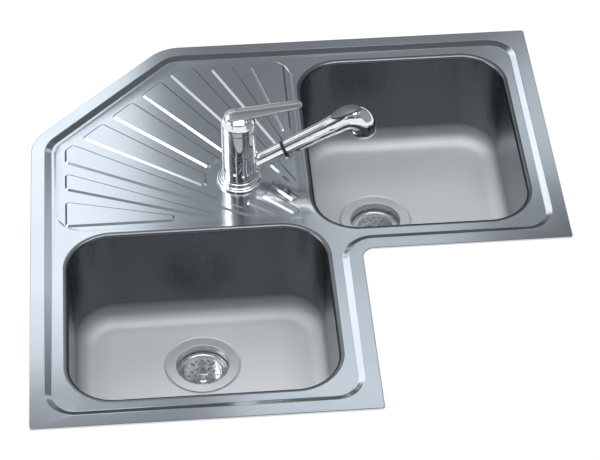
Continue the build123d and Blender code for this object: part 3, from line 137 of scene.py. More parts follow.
@dataclass
class Graph:
    """Short calls for wiring one node tree."""

    tree: bpy.types.NodeTree

    def node(self, kind: str, **values: object) -> bpy.types.Node:
        """Adds a node and sets its properties and inputs.

        Args:
            kind: Blender's node type.
            **values: Properties by name, or inputs by name with spaces as underscores.

        Returns:
            The new node.
        """
        made = self.tree.nodes.new(kind)
        for key, value in values.items():
            label = key.replace("_", " ")
            if hasattr(made, key):
                setattr(made, key, value)
            else:
                made.inputs[label].default_value = value
        return made

    def link(self, source: bpy.types.NodeSocket, target: bpy.types.NodeSocket) -> None:
        """Joins an output to an input."""
        self.tree.links.new(source, target)

    def add(self, first: bpy.types.NodeSocket, second: bpy.types.NodeSocket) -> bpy.types.NodeSocket:
        """Adds two values."""
        total = self.node("ShaderNodeMath", operation="ADD")
        self.link(first, total.inputs[0])
        self.link(second, total.inputs[1])
        return total.outputs[0]

    def blend_colours(
        self, amount: bpy.types.NodeSocket, first: Colour, second: Colour
    ) -> bpy.types.NodeSocket:
        """Blends from one colour to another.

        Args:
            amount: How far to go, from 0 to 1.
            first: The colour at 0.
            second: The colour at 1.

        Returns:
            The blended colour.
        """
        mix = self.node("ShaderNodeMix", data_type="RGBA")
        mix.inputs[MIX_FIRST].default_value = (*first, 1.0)
        mix.inputs[MIX_SECOND].default_value = (*second, 1.0)
        self.link(amount, mix.inputs[MIX_AMOUNT])
        return mix.outputs[MIX_RESULT]

    def remap(self, value: bpy.types.NodeSocket, source: Span, target: Span) -> bpy.types.NodeSocket:
        """Moves a value from one span to another, and clamps it there.

        Args:
            value: What to move.
            source: Its lowest and highest value.
            target: What those become.

        Returns:
            The moved value.
        """
        made = self.node("ShaderNodeMapRange")
        made.inputs["From Min"].default_value, made.inputs["From Max"].default_value = source
        made.inputs["To Min"].default_value, made.inputs["To Max"].default_value = target
        self.link(value, made.inputs["Value"])
        return made.outputs["Result"]

    def camera_or_mirror(self) -> bpy.types.NodeSocket:
        """1 for what the camera or a reflection sees, and 0 for other light."""
        path = self.node("ShaderNodeLightPath")
        seen = self.node("ShaderNodeMath", operation="MAXIMUM")
        self.link(path.outputs["Is Camera Ray"], seen.inputs[0])
        self.link(path.outputs["Is Glossy Ray"], seen.inputs[1])
        return seen.outputs[0]


def effect(which: Effect) -> bpy.types.NodeTree:
    """The node group of an effect, built on its first use.

    Args:
        which: The effect.

    Returns:
        A group that makes a pattern from 0 to 1, and a height, of a place and a scale.
    """
    found = bpy.data.node_groups.get(which.value)
    if found:
        return found
    tree = bpy.data.node_groups.new(which.value, "ShaderNodeTree")
    for label, kind in {"Vector": "NodeSocketVector", "Scale": "NodeSocketFloat"}.items():
        tree.interface.new_socket(name=label, in_out="INPUT", socket_type=kind)
    for label in ("Pattern", "Height"):
        tree.interface.new_socket(name=label, in_out="OUTPUT", socket_type="NodeSocketFloat")
    graph = Graph(tree)
    source = graph.node("NodeGroupInput")
    target = graph.node("NodeGroupOutput")
    values = NOISES[which]
    noise = graph.node("ShaderNodeTexNoise", Detail=values.detail, Roughness=values.roughness)
    noise.inputs["Distortion"].default_value = values.distortion
    graph.link(source.outputs["Vector"], noise.inputs["Vector"])
    graph.link(source.outputs["Scale"], noise.inputs["Scale"])
    pattern = graph.remap(noise.outputs["Fac"], values.span, (0.0, 1.0))
    graph.link(pattern, target.inputs["Pattern"])
    graph.link(noise.outputs["Fac"], target.inputs["Height"])
    return tree


# ---- Finishes ---------------------------------------------------------------------------
@dataclass(frozen=True)
class Wall:
    """How a drawn bowl's walls differ from its floor.

    The tone is a painted reflection: it darkens the walls, in place of the dark surroundings that a
    smoother wall would mirror.
    """

    floor_z: float
    wall_z: float
    # Painted reflection: the colour that the walls are darkened towards.
    tone: Colour
    roughness: float


@dataclass(frozen=True)
class Finish:
    """A named finish with its even values and the grain it shows."""

    name: str
    colour: Colour
    shade: Colour
    metallic: float = 0.0
    roughness: float = 0.4
    roughness_swing: float = 0.05
    effect: Effect = Effect.SKIN
    stretch: Point = (1.0, 1.0, 1.0)
    turn: float = 0.0
    scale: float = 800.0
    bump: float = 0.05
    bump_depth: float = 0.02 * MM
    marks_scale: float = 6.0
    marks: float = 0.3
    wall: Wall | None = None

    def material(self) -> bpy.types.Material:
        """The finish as a Blender material, built on its first use.

        Returns:
            A material on Object coordinates.
        """
        found = bpy.data.materials.get(self.name)
        if found:
            return found
        made = bpy.data.materials.new(self.name)
        made.use_nodes = True
        graph = Graph(made.node_tree)
        shader = made.node_tree.nodes["Principled BSDF"]
        shader.inputs["Metallic"].default_value = self.metallic
        place = graph.node("ShaderNodeTexCoord")
        grain_place = graph.node("ShaderNodeMapping", Scale=self.stretch, Rotation=(0.0, 0.0, self.turn))
        graph.link(place.outputs["Object"], grain_place.inputs["Vector"])
        grain = graph.node("ShaderNodeGroup", node_tree=effect(self.effect), Scale=self.scale)
        graph.link(grain_place.outputs["Vector"], grain.inputs["Vector"])
        marks = graph.node("ShaderNodeGroup", node_tree=effect(Effect.MARKS), Scale=self.marks_scale)
        graph.link(place.outputs["Object"], marks.inputs["Vector"])
        rise = self.wall_mask(graph, place) if self.wall else None
        self.wire_colour(graph, shader, marks, rise)
        self.wire_roughness(graph, shader, grain, marks, rise)
        bump = graph.node("ShaderNodeBump", Strength=self.bump, Distance=self.bump_depth)
        graph.link(grain.outputs["Height"], bump.inputs["Height"])
        graph.link(bump.outputs["Normal"], shader.inputs["Normal"])
        return made

    def wall_mask(self, graph: Graph, place: bpy.types.Node) -> bpy.types.NodeSocket:
        """How far a point is up the wall: 0 on the floor, 1 on the wall.

        Args:
            graph: The material's nodes.
            place: Its Texture Coordinate node.

        Returns:
            The share, from the height.
        """
        split = graph.node("ShaderNodeSeparateXYZ")
        graph.link(place.outputs["Object"], split.inputs[0])
        return graph.remap(split.outputs["Z"], (self.wall.floor_z, self.wall.wall_z), (0.0, 1.0))

    def wire_colour(
        self, graph: Graph, shader: bpy.types.Node, marks: bpy.types.Node, rise: bpy.types.NodeSocket | None
    ) -> None:
        """Feeds the base colour, which drifts between two close tones, with a painted reflection that
        darkens the walls where the finish has them.

        Args:
            graph: The material's nodes.
            shader: Its Principled node.
            marks: Its handling marks.
            rise: The share up the wall, where it has one.
        """
        tone = graph.blend_colours(marks.outputs["Pattern"], self.colour, self.shade)
        if rise:
            # Painted reflection: darkens the walls by height, in place of the dark surroundings that a
            # smoother wall would mirror.
            dark = graph.blend_colours(rise, (1.0, 1.0, 1.0), self.wall.tone)
            product = graph.node("ShaderNodeMix", data_type="RGBA", blend_type="MULTIPLY")
            product.inputs[MIX_AMOUNT].default_value = 1.0
            graph.link(tone, product.inputs[MIX_FIRST])
            graph.link(dark, product.inputs[MIX_SECOND])
            tone = product.outputs[MIX_RESULT]
        graph.link(tone, shader.inputs["Base Color"])

    def wire_roughness(
        self,
        graph: Graph,
        shader: bpy.types.Node,
        grain: bpy.types.Node,
        marks: bpy.types.Node,
        rise: bpy.types.NodeSocket | None,
    ) -> None:
        """Feeds the roughness from the fine grain, the soft marks and the wall.

        Args:
            graph: The material's nodes.
            shader: Its Principled node.
            grain: Its grain.
            marks: Its handling marks.
            rise: The share up the wall, where it has one.
        """
        swing = self.roughness_swing
        fine = graph.remap(grain.outputs["Pattern"], (0.0, 1.0), (-swing, swing))
        soft = graph.remap(marks.outputs["Pattern"], (0.0, 1.0), (0.0, self.marks * swing))
        total = graph.add(fine, soft)
        if rise:
            smooth = graph.remap(rise, (0.0, 1.0), (0.0, self.wall.roughness - self.roughness))
            total = graph.add(total, smooth)
        level = graph.node("ShaderNodeMath", operation="ADD", use_clamp=True)
        level.inputs[1].default_value = self.roughness
        graph.link(total, level.inputs[0])
        graph.link(level.outputs[0], shader.inputs["Roughness"])


DECK_STEEL = Finish(
    name="deck_steel_satin",
    colour=(0.63, 0.66, 0.69),
    shade=(0.60, 0.63, 0.66),
    metallic=1.0,
    roughness=0.15,
    roughness_swing=0.02,
    effect=Effect.GRAIN,
    stretch=(1.0, 24.0, 1.0),
    turn=math.radians(45),
    scale=60.0,
    bump=0.04,
    bump_depth=0.01 * MM,
    marks_scale=5.0,
    marks=1.0,
)
BOWL_STEEL_PAINTED_REFLECTION = Finish(
    name="bowl_steel_drawn_painted_reflection",
    colour=(0.68, 0.70, 0.72),
    shade=(0.65, 0.67, 0.69),
    metallic=1.0,
    roughness=0.70,
    roughness_swing=0.02,
    effect=Effect.GRAIN,
    stretch=(26.0, 26.0, 1.0),
    scale=70.0,
    bump=0.004,
    bump_depth=0.01 * MM,
    marks_scale=5.0,
    marks=1.0,
    # The walls' tone is a painted reflection that darkens them by height.
    wall=Wall(floor_z=-172 * MM, wall_z=-146 * MM, tone=(0.19, 0.20, 0.21), roughness=0.26),
)
FLANGE_STEEL = Finish(
    name="flange_steel_satin",
    colour=(0.68, 0.70, 0.72),
    shade=(0.64, 0.66, 0.68),
    metallic=1.0,
    roughness=0.46,
    roughness_swing=0.02,
    effect=Effect.GRAIN,
    stretch=(1.0, 1.0, 30.0),
    scale=60.0,
    bump=0.03,
    bump_depth=0.01 * MM,
    marks_scale=30.0,
    marks=1.0,
)
BASKET_STEEL = Finish(
    name="basket_steel_bright",
    colour=(0.90, 0.91, 0.92),
    shade=(0.86, 0.87, 0.88),
    metallic=1.0,
    roughness=0.26,
    roughness_swing=0.03,
    effect=Effect.GRAIN,
    stretch=(1.0, 1.0, 20.0),
    scale=80.0,
    bump=0.03,
    bump_depth=0.01 * MM,
    marks_scale=30.0,
    marks=1.0,
)
CHROME = Finish(
    name="tap_chrome",
    colour=(0.86, 0.87, 0.88),
    shade=(0.84, 0.85, 0.865),
    metallic=1.0,
    roughness=0.035,
    roughness_swing=0.01,
    scale=300.0,
    bump=0.01,
    bump_depth=0.01 * MM,
    marks_scale=18.0,
    marks=1.5,
)
LEVER_CHROME = Finish(
    name="lever_chrome_silk",
    colour=(0.74, 0.75, 0.76),
    shade=(0.71, 0.72, 0.73),
    metallic=1.0,
    roughness=0.34,
    roughness_swing=0.02,
    scale=500.0,
    bump=0.01,
    bump_depth=0.01 * MM,
    marks_scale=20.0,
    marks=1.0,
)
PLATED_PLASTIC = Finish(
    name="handset_chromed_shell",
    colour=(0.85, 0.86, 0.875),
    shade=(0.83, 0.84, 0.855),
    metallic=1.0,
    roughness=0.05,
    roughness_swing=0.01,
    scale=260.0,
    bump=0.02,
    bump_depth=0.01 * MM,
    marks_scale=18.0,
    marks=1.5,
)
ROCKER_GREY = Finish(
    name="rocker_satin_grey",
    colour=(0.105, 0.115, 0.13),
    shade=(0.09, 0.10, 0.115),
    metallic=0.35,
    roughness=0.38,
    roughness_swing=0.04,
    scale=900.0,
    marks_scale=40.0,
    marks=1.0,
)
BRASS = Finish(
    name="cast_brass_raw",
    colour=(0.56, 0.42, 0.20),
    shade=(0.47, 0.34, 0.16),
    metallic=1.0,
    roughness=0.38,
    roughness_swing=0.06,
    scale=700.0,
    bump=0.15,
    bump_depth=0.05 * MM,
    marks_scale=60.0,
    marks=1.0,
)
ZINC = Finish(
    name="zinc_plated_steel",
    colour=(0.62, 0.63, 0.62),
    shade=(0.52, 0.54, 0.56),
    metallic=1.0,
    roughness=0.33,
    roughness_swing=0.06,
    scale=420.0,
    bump=0.06,
    marks_scale=90.0,
    marks=1.0,
)
BLACK_PLASTIC = Finish(
    name="black_plastic_moulded",
    colour=(0.012, 0.012, 0.013),
    shade=(0.02, 0.02, 0.021),
    roughness=0.34,
    scale=900.0,
    bump=0.08,
    marks_scale=50.0,
    marks=1.0,
)
WHITE_PLASTIC = Finish(
    name="white_plastic_moulded",
    colour=(0.74, 0.74, 0.72),
    shade=(0.70, 0.70, 0.67),
    roughness=0.42,
    bump=0.08,
    marks_scale=30.0,
    marks=1.0,
)
GREY_PLASTIC = Finish(
    name="grey_plastic_soft",
    colour=(0.11, 0.115, 0.12),
    shade=(0.09, 0.095, 0.10),
    roughness=0.5,
    scale=900.0,
    bump=0.08,
    marks_scale=60.0,
    marks=1.0,
)
RUBBER = Finish(
    name="black_rubber_seal",
    colour=(0.016, 0.016, 0.017),
    shade=(0.026, 0.026, 0.027),
    roughness=0.62,
    roughness_swing=0.06,
    scale=1200.0,
    bump=0.15,
    bump_depth=0.03 * MM,
    marks_scale=60.0,
    marks=1.0,
)
FOAM = Finish(
    name="grey_foam_cells",
    colour=(0.12, 0.12, 0.125),
    shade=(0.16, 0.16, 0.165),
    roughness=0.9,
    scale=1500.0,
    bump=0.6,
    bump_depth=0.2 * MM,
    marks_scale=40.0,
    marks=1.0,
)
FELT = Finish(
    name="damping_felt",
    colour=(0.10, 0.10, 0.105),
    shade=(0.14, 0.14, 0.14),
    roughness=0.95,
    roughness_swing=0.04,
    scale=1100.0,
    bump=0.8,
    bump_depth=0.3 * MM,
    marks_scale=30.0,
    marks=1.0,
)


# ---- Mesh helpers -----------------------------------------------------------------------
TAP_FRAME = Matrix.Translation((-177 * MM, 177 * MM, -1.9 * MM))  # the tap's foot on the drainer
REST_TURN = math.radians(7)  # where the spout and the lever point at rest
COLUMN_RADIUS = 26.5  # of the tap's column, in mm
ON_CIRCLE = 0.05 * MM  # how near to a circle a point counts as on it
SHARP_ANGLE = 28.0  # edges sharper than this many degrees stay sharp
SINK_SHARP_ANGLE = 32.0
DOUBLES = 0.002 * MM  # points this near to each other are one
SLIVERS = 0.001 * MM  # edges this short are closed up


def place_mesh(name: str, mesh: bmesh.types.BMesh, material: bpy.types.Material) -> bpy.types.Object:
    """Puts a finished bmesh into the scene.

    Args:
        name: Name of the object.
        mesh: Its shape, in place; it is freed here.
        material: What it is painted with.

    Returns:
        The new object.
    """
    data = bpy.data.meshes.new(name)
    mesh.to_mesh(data)
    mesh.free()
    data.materials.append(material)
    placed = bpy.data.objects.new(name, data)
    bpy.context.scene.collection.objects.link(placed)
    return placed


def add_piece(
    name: str, mesh: bmesh.types.BMesh, finish: Finish, body: str, nodes: Sequence[str] = ()
) -> bpy.types.Object:
    """Turns a finished bmesh into a piece of the object.

    Args:
        name: Name of the piece.
        mesh: Its shape, in place; it is freed here.
        finish: What it is dressed in.
        body: The CAD body that it rides on.
        nodes: CAD nodes that it stands for.

    Returns:
        The new object.
    """
    piece = place_mesh(name, mesh, finish.material())
    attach(piece, body)
    if nodes:
        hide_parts(*nodes)
    LOG.info("%s: %d faces on %s", name, len(piece.data.polygons), body)
    return piece


def crease(mesh: bmesh.types.BMesh, angle: float) -> None:
    """Smooths a mesh's faces and keeps edges sharper than an angle in degrees."""
    limit = math.radians(angle)
    for face in mesh.faces:
        face.smooth = True
    for edge in mesh.edges:
        edge.smooth = len(edge.link_faces) == 2 and edge.calc_face_angle(math.pi) < limit


def merged(node: str, angle: float) -> bmesh.types.BMesh:
    """A CAD node's surface as one joined mesh.

    Args:
        node: Name of the CAD node.
        angle: Edges sharper than this many degrees stay sharp.

    Returns:
        A bmesh in place, with its doubles merged.
    """
    mesh = bmesh.new()
    mesh.from_mesh(frame["nodes"][node].data)
    bmesh.ops.remove_doubles(mesh, verts=mesh.verts, dist=DOUBLES)
    bmesh.ops.dissolve_degenerate(mesh, edges=mesh.edges, dist=SLIVERS)
    crease(mesh, angle)
    return mesh


def even_normals(piece: bpy.types.Object) -> None:
    """Lets large flat faces set the shading beside their blends."""
    weighted = piece.modifiers.new("even_normals", "WEIGHTED_NORMAL")
    weighted.keep_sharp = True
    weighted.weight = 50


def soften(mesh: bmesh.types.BMesh, edges: Sequence[bmesh.types.BMEdge], width: float) -> None:
    """Bevels edges into a small round."""
    bmesh.ops.bevel(
        mesh, geom=edges, offset=width, offset_type="OFFSET", affect="EDGES", segments=3, profile=0.5,
        material=-1,
    )


@dataclass(frozen=True)
class Seam:
    """A sharp circle round the tap's axis that gets a small round, in mm."""

    height: float
    width: float = 0.9

    def round_over(self, mesh: bmesh.types.BMesh) -> None:
        """Bevels the circle's edges."""
        ring = [edge for edge in mesh.edges if all(self.holds(vert.co) for vert in edge.verts)]
        soften(mesh, ring, self.width * MM)
        LOG.info("rounded %d edges at %.1f mm", len(ring), self.height)

    def holds(self, point: Vector) -> bool:
        """Whether a point is on the circle."""
        foot = TAP_FRAME.translation
        level = self.height * MM + foot.z
        reach = math.hypot(point.x - foot.x, point.y - foot.y)
        return abs(point.z - level) < ON_CIRCLE and abs(reach - COLUMN_RADIUS * MM) < ON_CIRCLE


def body_of_node(node: str) -> str:
    """The CAD body that a node belongs to."""
    return frame["nodes"][node]["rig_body"]


def refine(
    node: str, finish: Finish, angle: float = SHARP_ANGLE, seams: Sequence[Seam] = ()
) -> None:
    """Replaces a CAD node by its joined, smoothly shaded surface.

    Args:
        node: Name of the CAD node.
        finish: What it is dressed in.
        angle: Edges sharper than this many degrees stay sharp.
        seams: Circles round the tap's axis to round over.
    """
    mesh = merged(node, angle)
    for seam in seams:
        seam.round_over(mesh)
    if seams:
        crease(mesh, angle)
    piece = add_piece(f"{node}_surface", mesh, finish, body_of_node(node), [node])
    even_normals(piece)


def dress(node: str, finish: Finish) -> None:
    """Gives a CAD node its finish and leaves its mesh alone."""
    data = frame["nodes"][node].data
    data.materials.clear()
    data.materials.append(finish.material())
    LOG.info("%s: dressed in %s", node, finish.name)


# ---- Sink -------------------------------------------------------------------------------
@dataclass
class SinkTop:
    """The pressed top with its rim, step, deck and ribbed drainer."""

    def build(self) -> None:
        """Makes the top, its seal and its clips."""
        refine("sink_deck", DECK_STEEL, SINK_SHARP_ANGLE)
        dress("rim_seal", FOAM)
        for node in ("clip_rails", "clip_hooks", "clip_screws"):
            dress(node, ZINC)


@dataclass
class Bowl:
    """One drawn bowl with its sound pad."""

    side: Side

    def build(self) -> None:
        """Makes the bowl and dresses the pad under it."""
        refine(self.side.node("bowl"), BOWL_STEEL_PAINTED_REFLECTION, SINK_SHARP_ANGLE)
        dress(self.side.node("sound_pad"), FELT)


@dataclass
class StrainerWaste:
    """One waste: flange and well, basket, post, seals and the body under the bowl."""

    side: Side

    def build(self) -> None:
        """Makes the waste's pieces."""
        refine(self.side.node("strainer_flange"), FLANGE_STEEL)
        refine(self.side.node("basket"), BASKET_STEEL)
        refine(self.side.node("basket_post"), BASKET_STEEL)
        refine(self.side.node("waste_body"), WHITE_PLASTIC)
        for piece in ("flange_gasket", "waste_gasket", "basket_stopper"):
            dress(self.side.node(piece), RUBBER)
        for piece in ("waste_nut", "waste_screw"):
            dress(self.side.node(piece), ZINC)


# ---- Tap --------------------------------------------------------------------------------
@dataclass
class TapBody:
    """The fixed column with its base ring, and what holds it under the sink."""

    def build(self) -> None:
        """Makes the column and the fixing."""
        refine("tap_base_ring", CHROME)
        refine("tap_body", CHROME, seams=(Seam(62.3), Seam(108.0)))
        refine("cap_ring", CHROME, seams=(Seam(108.3),))
        dress("tap_gasket", RUBBER)
        dress("stabiliser_pad", BLACK_PLASTIC)
        dress("swivel_bush_lower", WHITE_PLASTIC)
        dress("swivel_bush_upper", BLACK_PLASTIC)
        for node in ("horseshoe_plate", "fixing_stud", "stud_nut"):
            dress(node, ZINC)


@dataclass
class Spout:
    """The swinging sleeve with its arm and the seam ring."""

    def build(self) -> None:
        """Makes the sleeve and the ring."""
        refine("spout_sleeve", CHROME, seams=(Seam(61.7), Seam(13.2, 0.7)))
        refine("spout_seam_ring", BLACK_PLASTIC)


@dataclass
class Handset:
    """The pull-out spray with its rocker, nozzle and inner parts."""

    def build(self) -> None:
        """Makes the handset's pieces."""
        refine("handset_shell", PLATED_PLASTIC)
        refine("spray_rocker", ROCKER_GREY)
        refine("nozzle_ring", BLACK_PLASTIC)
        refine("nozzle_face", GREY_PLASTIC)
        for node, finish in {
            "rocker_pin": ZINC,
            "hose_nut": BRASS,
            "spray_hose": BLACK_PLASTIC,
            "handset_waterway": WHITE_PLASTIC,
            "diverter_block": WHITE_PLASTIC,
        }.items():
            dress(node, finish)


def along(points: Sequence[Span], place: float) -> float:
    """Reads a value off a line of points, straight between them.

    Args:
        points: Pairs of place and value, in order.
        place: Where to read.

    Returns:
        The value there.
    """
    for (start, low), (end, high) in zip(points, points[1:]):
        if place <= end:
            share = (place - start) / (end - start)
            return low + (high - low) * share
    return points[-1][1]


@dataclass
class LeverHead:
    """The cartridge, the dome and the lever that turn and tip.

    The lever's sizes are in mm in the tap's frame. Its outlines pair a reach along the lever with a value
    there: the half width, the height of the top's middle, the height underneath and the fall to the sides.
    """

    heel: float = -21.0
    tip: float = 100.5
    half_widths: tuple[Span, ...] = (
        (-21.0, 4.5), (-20.0, 7.2), (-18.0, 9.6), (-15.0, 11.6), (-11.0, 12.9), (-4.0, 13.4), (8.0, 13.4),
        (25.0, 12.8), (50.0, 11.3), (75.0, 9.9), (90.0, 9.0), (95.0, 8.0), (98.0, 6.4), (99.8, 4.2),
        (100.5, 2.4),
    )
    top: tuple[Span, ...] = (
        (-21.0, 133.0), (-20.0, 135.2), (-18.0, 137.2), (-15.0, 138.9), (-11.0, 140.1), (-5.0, 140.8),
        (0.0, 141.0), (60.0, 141.0), (92.0, 140.9), (98.0, 140.5), (100.5, 139.8),
    )
    under: tuple[Span, ...] = ((-21.0, 128.6), (-10.5, 132.0), (25.0, 132.0), (100.5, 137.6))
    crown: tuple[Span, ...] = (
        (-21.0, 2.0), (-14.0, 5.2), (0.0, 6.4), (25.0, 5.6), (60.0, 3.4), (92.0, 2.2), (100.5, 1.4),
    )
    dome_centre: float = 100.0
    dome_reach: float = 35.4
    stations: int = 46
    rows: int = 16
    edge_round: float = 0.9
    rim_angle: float = 40.0
    sharp_angle: float = 50.0

    def build(self) -> None:
        """Makes the head's pieces."""
        refine("dome_cap", CHROME)
        self.lever()
        for node, finish in {
            "cartridge": WHITE_PLASTIC,
            "cartridge_nut": BRASS,
            "stem_carrier": WHITE_PLASTIC,
            "pivot_pin": ZINC,
            "cartridge_stem": ZINC,
            "lever_screw": ZINC,
            "lever_plug": GREY_PLASTIC,
        }.items():
            dress(node, finish)

    def lever(self) -> None:
        """Models the lever: a crowned blade with a full heel that wraps over the dome."""
        mesh = bmesh.new()
        bmesh.ops.create_grid(mesh, x_segments=self.stations, y_segments=self.rows, size=1.0)
        shell = bmesh.ops.extrude_face_region(mesh, geom=mesh.faces[:])
        upper = {vert for vert in shell["geom"] if isinstance(vert, bmesh.types.BMVert)}
        for vert in mesh.verts:
            self.place(vert, vert in upper)
        bmesh.ops.recalc_face_normals(mesh, faces=mesh.faces)
        limit = math.radians(self.rim_angle)
        soften(mesh, [edge for edge in mesh.edges if edge.calc_face_angle(0.0) > limit], self.edge_round)
        crease(mesh, self.sharp_angle)
        at_rest = TAP_FRAME @ Matrix.Rotation(REST_TURN, 4, "Z") @ Matrix.Scale(MM, 4)
        bmesh.ops.transform(mesh, matrix=at_rest, verts=mesh.verts)
        add_piece("lever_blade", mesh, LEVER_CHROME, body_of_node("lever"), ["lever"])

    def place(self, vert: bmesh.types.BMVert, above: bool) -> None:
        """Moves a grid point onto the lever.

        Args:
            vert: The point, with its place in the grid.
            above: Whether it is on the upper face.
        """
        share = 0.5 - 0.5 * math.cos(math.pi * (vert.co.x + 1) / 2)
        reach = self.heel + (self.tip - self.heel) * share
        across = math.sin(vert.co.y * math.pi / 2)
        side = across * along(self.half_widths, reach)
        if above:
            level = along(self.top, reach) - along(self.crown, reach) * across**2
        else:
            level = along(self.under, reach)
            room = self.dome_reach**2 - reach**2 - side**2
            if room > 0:
                level = max(level, self.dome_centre + math.sqrt(room))
        vert.co = (reach, side, level)


# ---- Studio -----------------------------------------------------------------------------
@dataclass(frozen=True)
class Softbox:
    """A rectangular lamp that faces a point."""

    name: str
    place: Point
    aim: Point
    size: Span
    power: float
    flagged: tuple[str, ...] = ()

    def build(self) -> None:
        """Hangs the lamp, out of the camera's sight, and flags it off the pieces named."""
        lamp = bpy.data.lights.new(self.name, "AREA")
        lamp.shape = "RECTANGLE"
        lamp.size, lamp.size_y = self.size
        lamp.energy = self.power
        hung = bpy.data.objects.new(self.name, lamp)
        bpy.context.scene.collection.objects.link(hung)
        hung.location = self.place
        hung.rotation_mode = "QUATERNION"
        hung.rotation_quaternion = (Vector(self.aim) - Vector(self.place)).to_track_quat("-Z", "Y")
        hung.visible_camera = False
        if self.flagged:
            flag = bpy.data.collections.new(f"{self.name}_flag")
            for name in self.flagged:
                flag.objects.link(bpy.data.objects[name])
            for entry in flag.collection_objects:
                entry.light_linking.link_state = "EXCLUDE"
            hung.light_linking.receiver_collection = flag


CARD_TINT = (0.93, 0.985, 1.05)


@dataclass(frozen=True)
class Card:
    """A studio card that only reflections see, so that bright metal has dark and light things to show."""

    name: str
    place: Point
    aim: Point
    size: Span
    tone: float

    def build(self) -> None:
        """Stands the card up."""
        mesh = bmesh.new()
        bmesh.ops.create_grid(mesh, x_segments=1, y_segments=1, size=0.5)
        turn = (Vector(self.aim) - Vector(self.place)).to_track_quat("Z", "Y").to_matrix().to_4x4()
        size = Matrix.Diagonal((self.size[0], self.size[1], 1.0, 1.0))
        bmesh.ops.transform(mesh, matrix=Matrix.Translation(self.place) @ turn @ size, verts=mesh.verts)
        card = place_mesh(self.name, mesh, self.paint())
        card.visible_camera = False
        card.visible_diffuse = False
        card.visible_shadow = False
        card.visible_transmission = False

    def paint(self) -> bpy.types.Material:
        """A plain glow in a faintly cool tone."""
        paint = bpy.data.materials.new(self.name)
        paint.use_nodes = True
        paint.node_tree.nodes.clear()
        graph = Graph(paint.node_tree)
        glow = graph.node("ShaderNodeEmission", Strength=self.tone)
        glow.inputs["Color"].default_value = (*CARD_TINT, 1.0)
        out = graph.node("ShaderNodeOutputMaterial")
        graph.link(glow.outputs[0], out.inputs["Surface"])
        return paint


# The two large softboxes don't light these pieces, whose metal mostly shows the cards.
METAL_FLAG = ("sink_deck_surface", "lever_blade")
LAMPS = (
    Softbox("overhead_softbox", (-0.1, 0.0, 2.6), (-0.1, 0.05, -0.1), (2.4, 1.4), 52.0, METAL_FLAG),
    Softbox("back_softbox", (-0.1, 1.5, 2.2), (-0.1, 0.05, -0.1), (2.4, 0.9), 7.0, METAL_FLAG),
    Softbox("left_softbox", (-2.1, 0.3, 1.5), (-0.2, 0.2, 0.0), (0.9, 1.1), 14.0),
)
# The deck mirrors the panels behind it to the camera, and the tap mirrors the flags in front.
CARDS = (
    Card("back_card", (0.0, 2.5, 2.2), (0.0, 0.0, 2.2), (6.0, 3.2), 0.26),
    Card("low_card", (0.0, 2.45, 0.3), (0.0, 0.0, 0.3), (6.0, 0.7), 0.10),
    Card("left_panel", (-1.22, 2.3, 2.0), (-1.22, 0.0, 2.0), (1.75, 1.46), 1.5),
    Card("middle_panel", (0.36, 2.3, 2.12), (0.36, 0.0, 2.12), (0.5, 0.8), 0.75),
    Card("right_panel", (0.90, 2.25, 1.74), (0.90, 0.0, 1.74), (0.5, 0.5), 0.9),
    Card("upper_panel", (0.26, 2.3, 2.85), (0.26, 0.0, 2.85), (0.8, 0.8), 1.1),
    Card("right_flag", (1.12, 2.28, 2.45), (1.12, 0.0, 2.45), (0.7, 0.75), 0.10),
    Card("front_flag", (-0.05, -1.8, 1.95), (-0.05, 0.0, 1.95), (1.6, 1.5), 0.06),
    Card("front_left_flag", (-1.35, -1.4, 1.95), (0.0, 0.0, 1.95), (0.75, 1.5), 0.08),
    Card("left_flag", (-2.0, -1.1, 1.7), (0.0, 0.0, 1.7), (1.2, 2.0), 0.25),
    Card("front_right_flag", (1.35, -1.35, 1.95), (0.0, 0.0, 1.95), (1.3, 1.5), 0.22),
    Card("strip_light", (-0.95, -1.7, 1.5), (0.0, 0.0, 0.4), (0.12, 2.2), 0.95),
    Card("right_card", (2.2, 0.3, 1.4), (0.0, 0.3, 1.4), (4.0, 2.8), 0.34),
    Card("ceiling_card", (0.0, -0.75, 2.9), (0.0, -0.75, 0.0), (4.6, 2.1), 0.36),
    Card("ceiling_flag", (0.0, 1.6, 3.7), (0.0, 1.6, 0.0), (4.6, 2.6), 0.14),
)


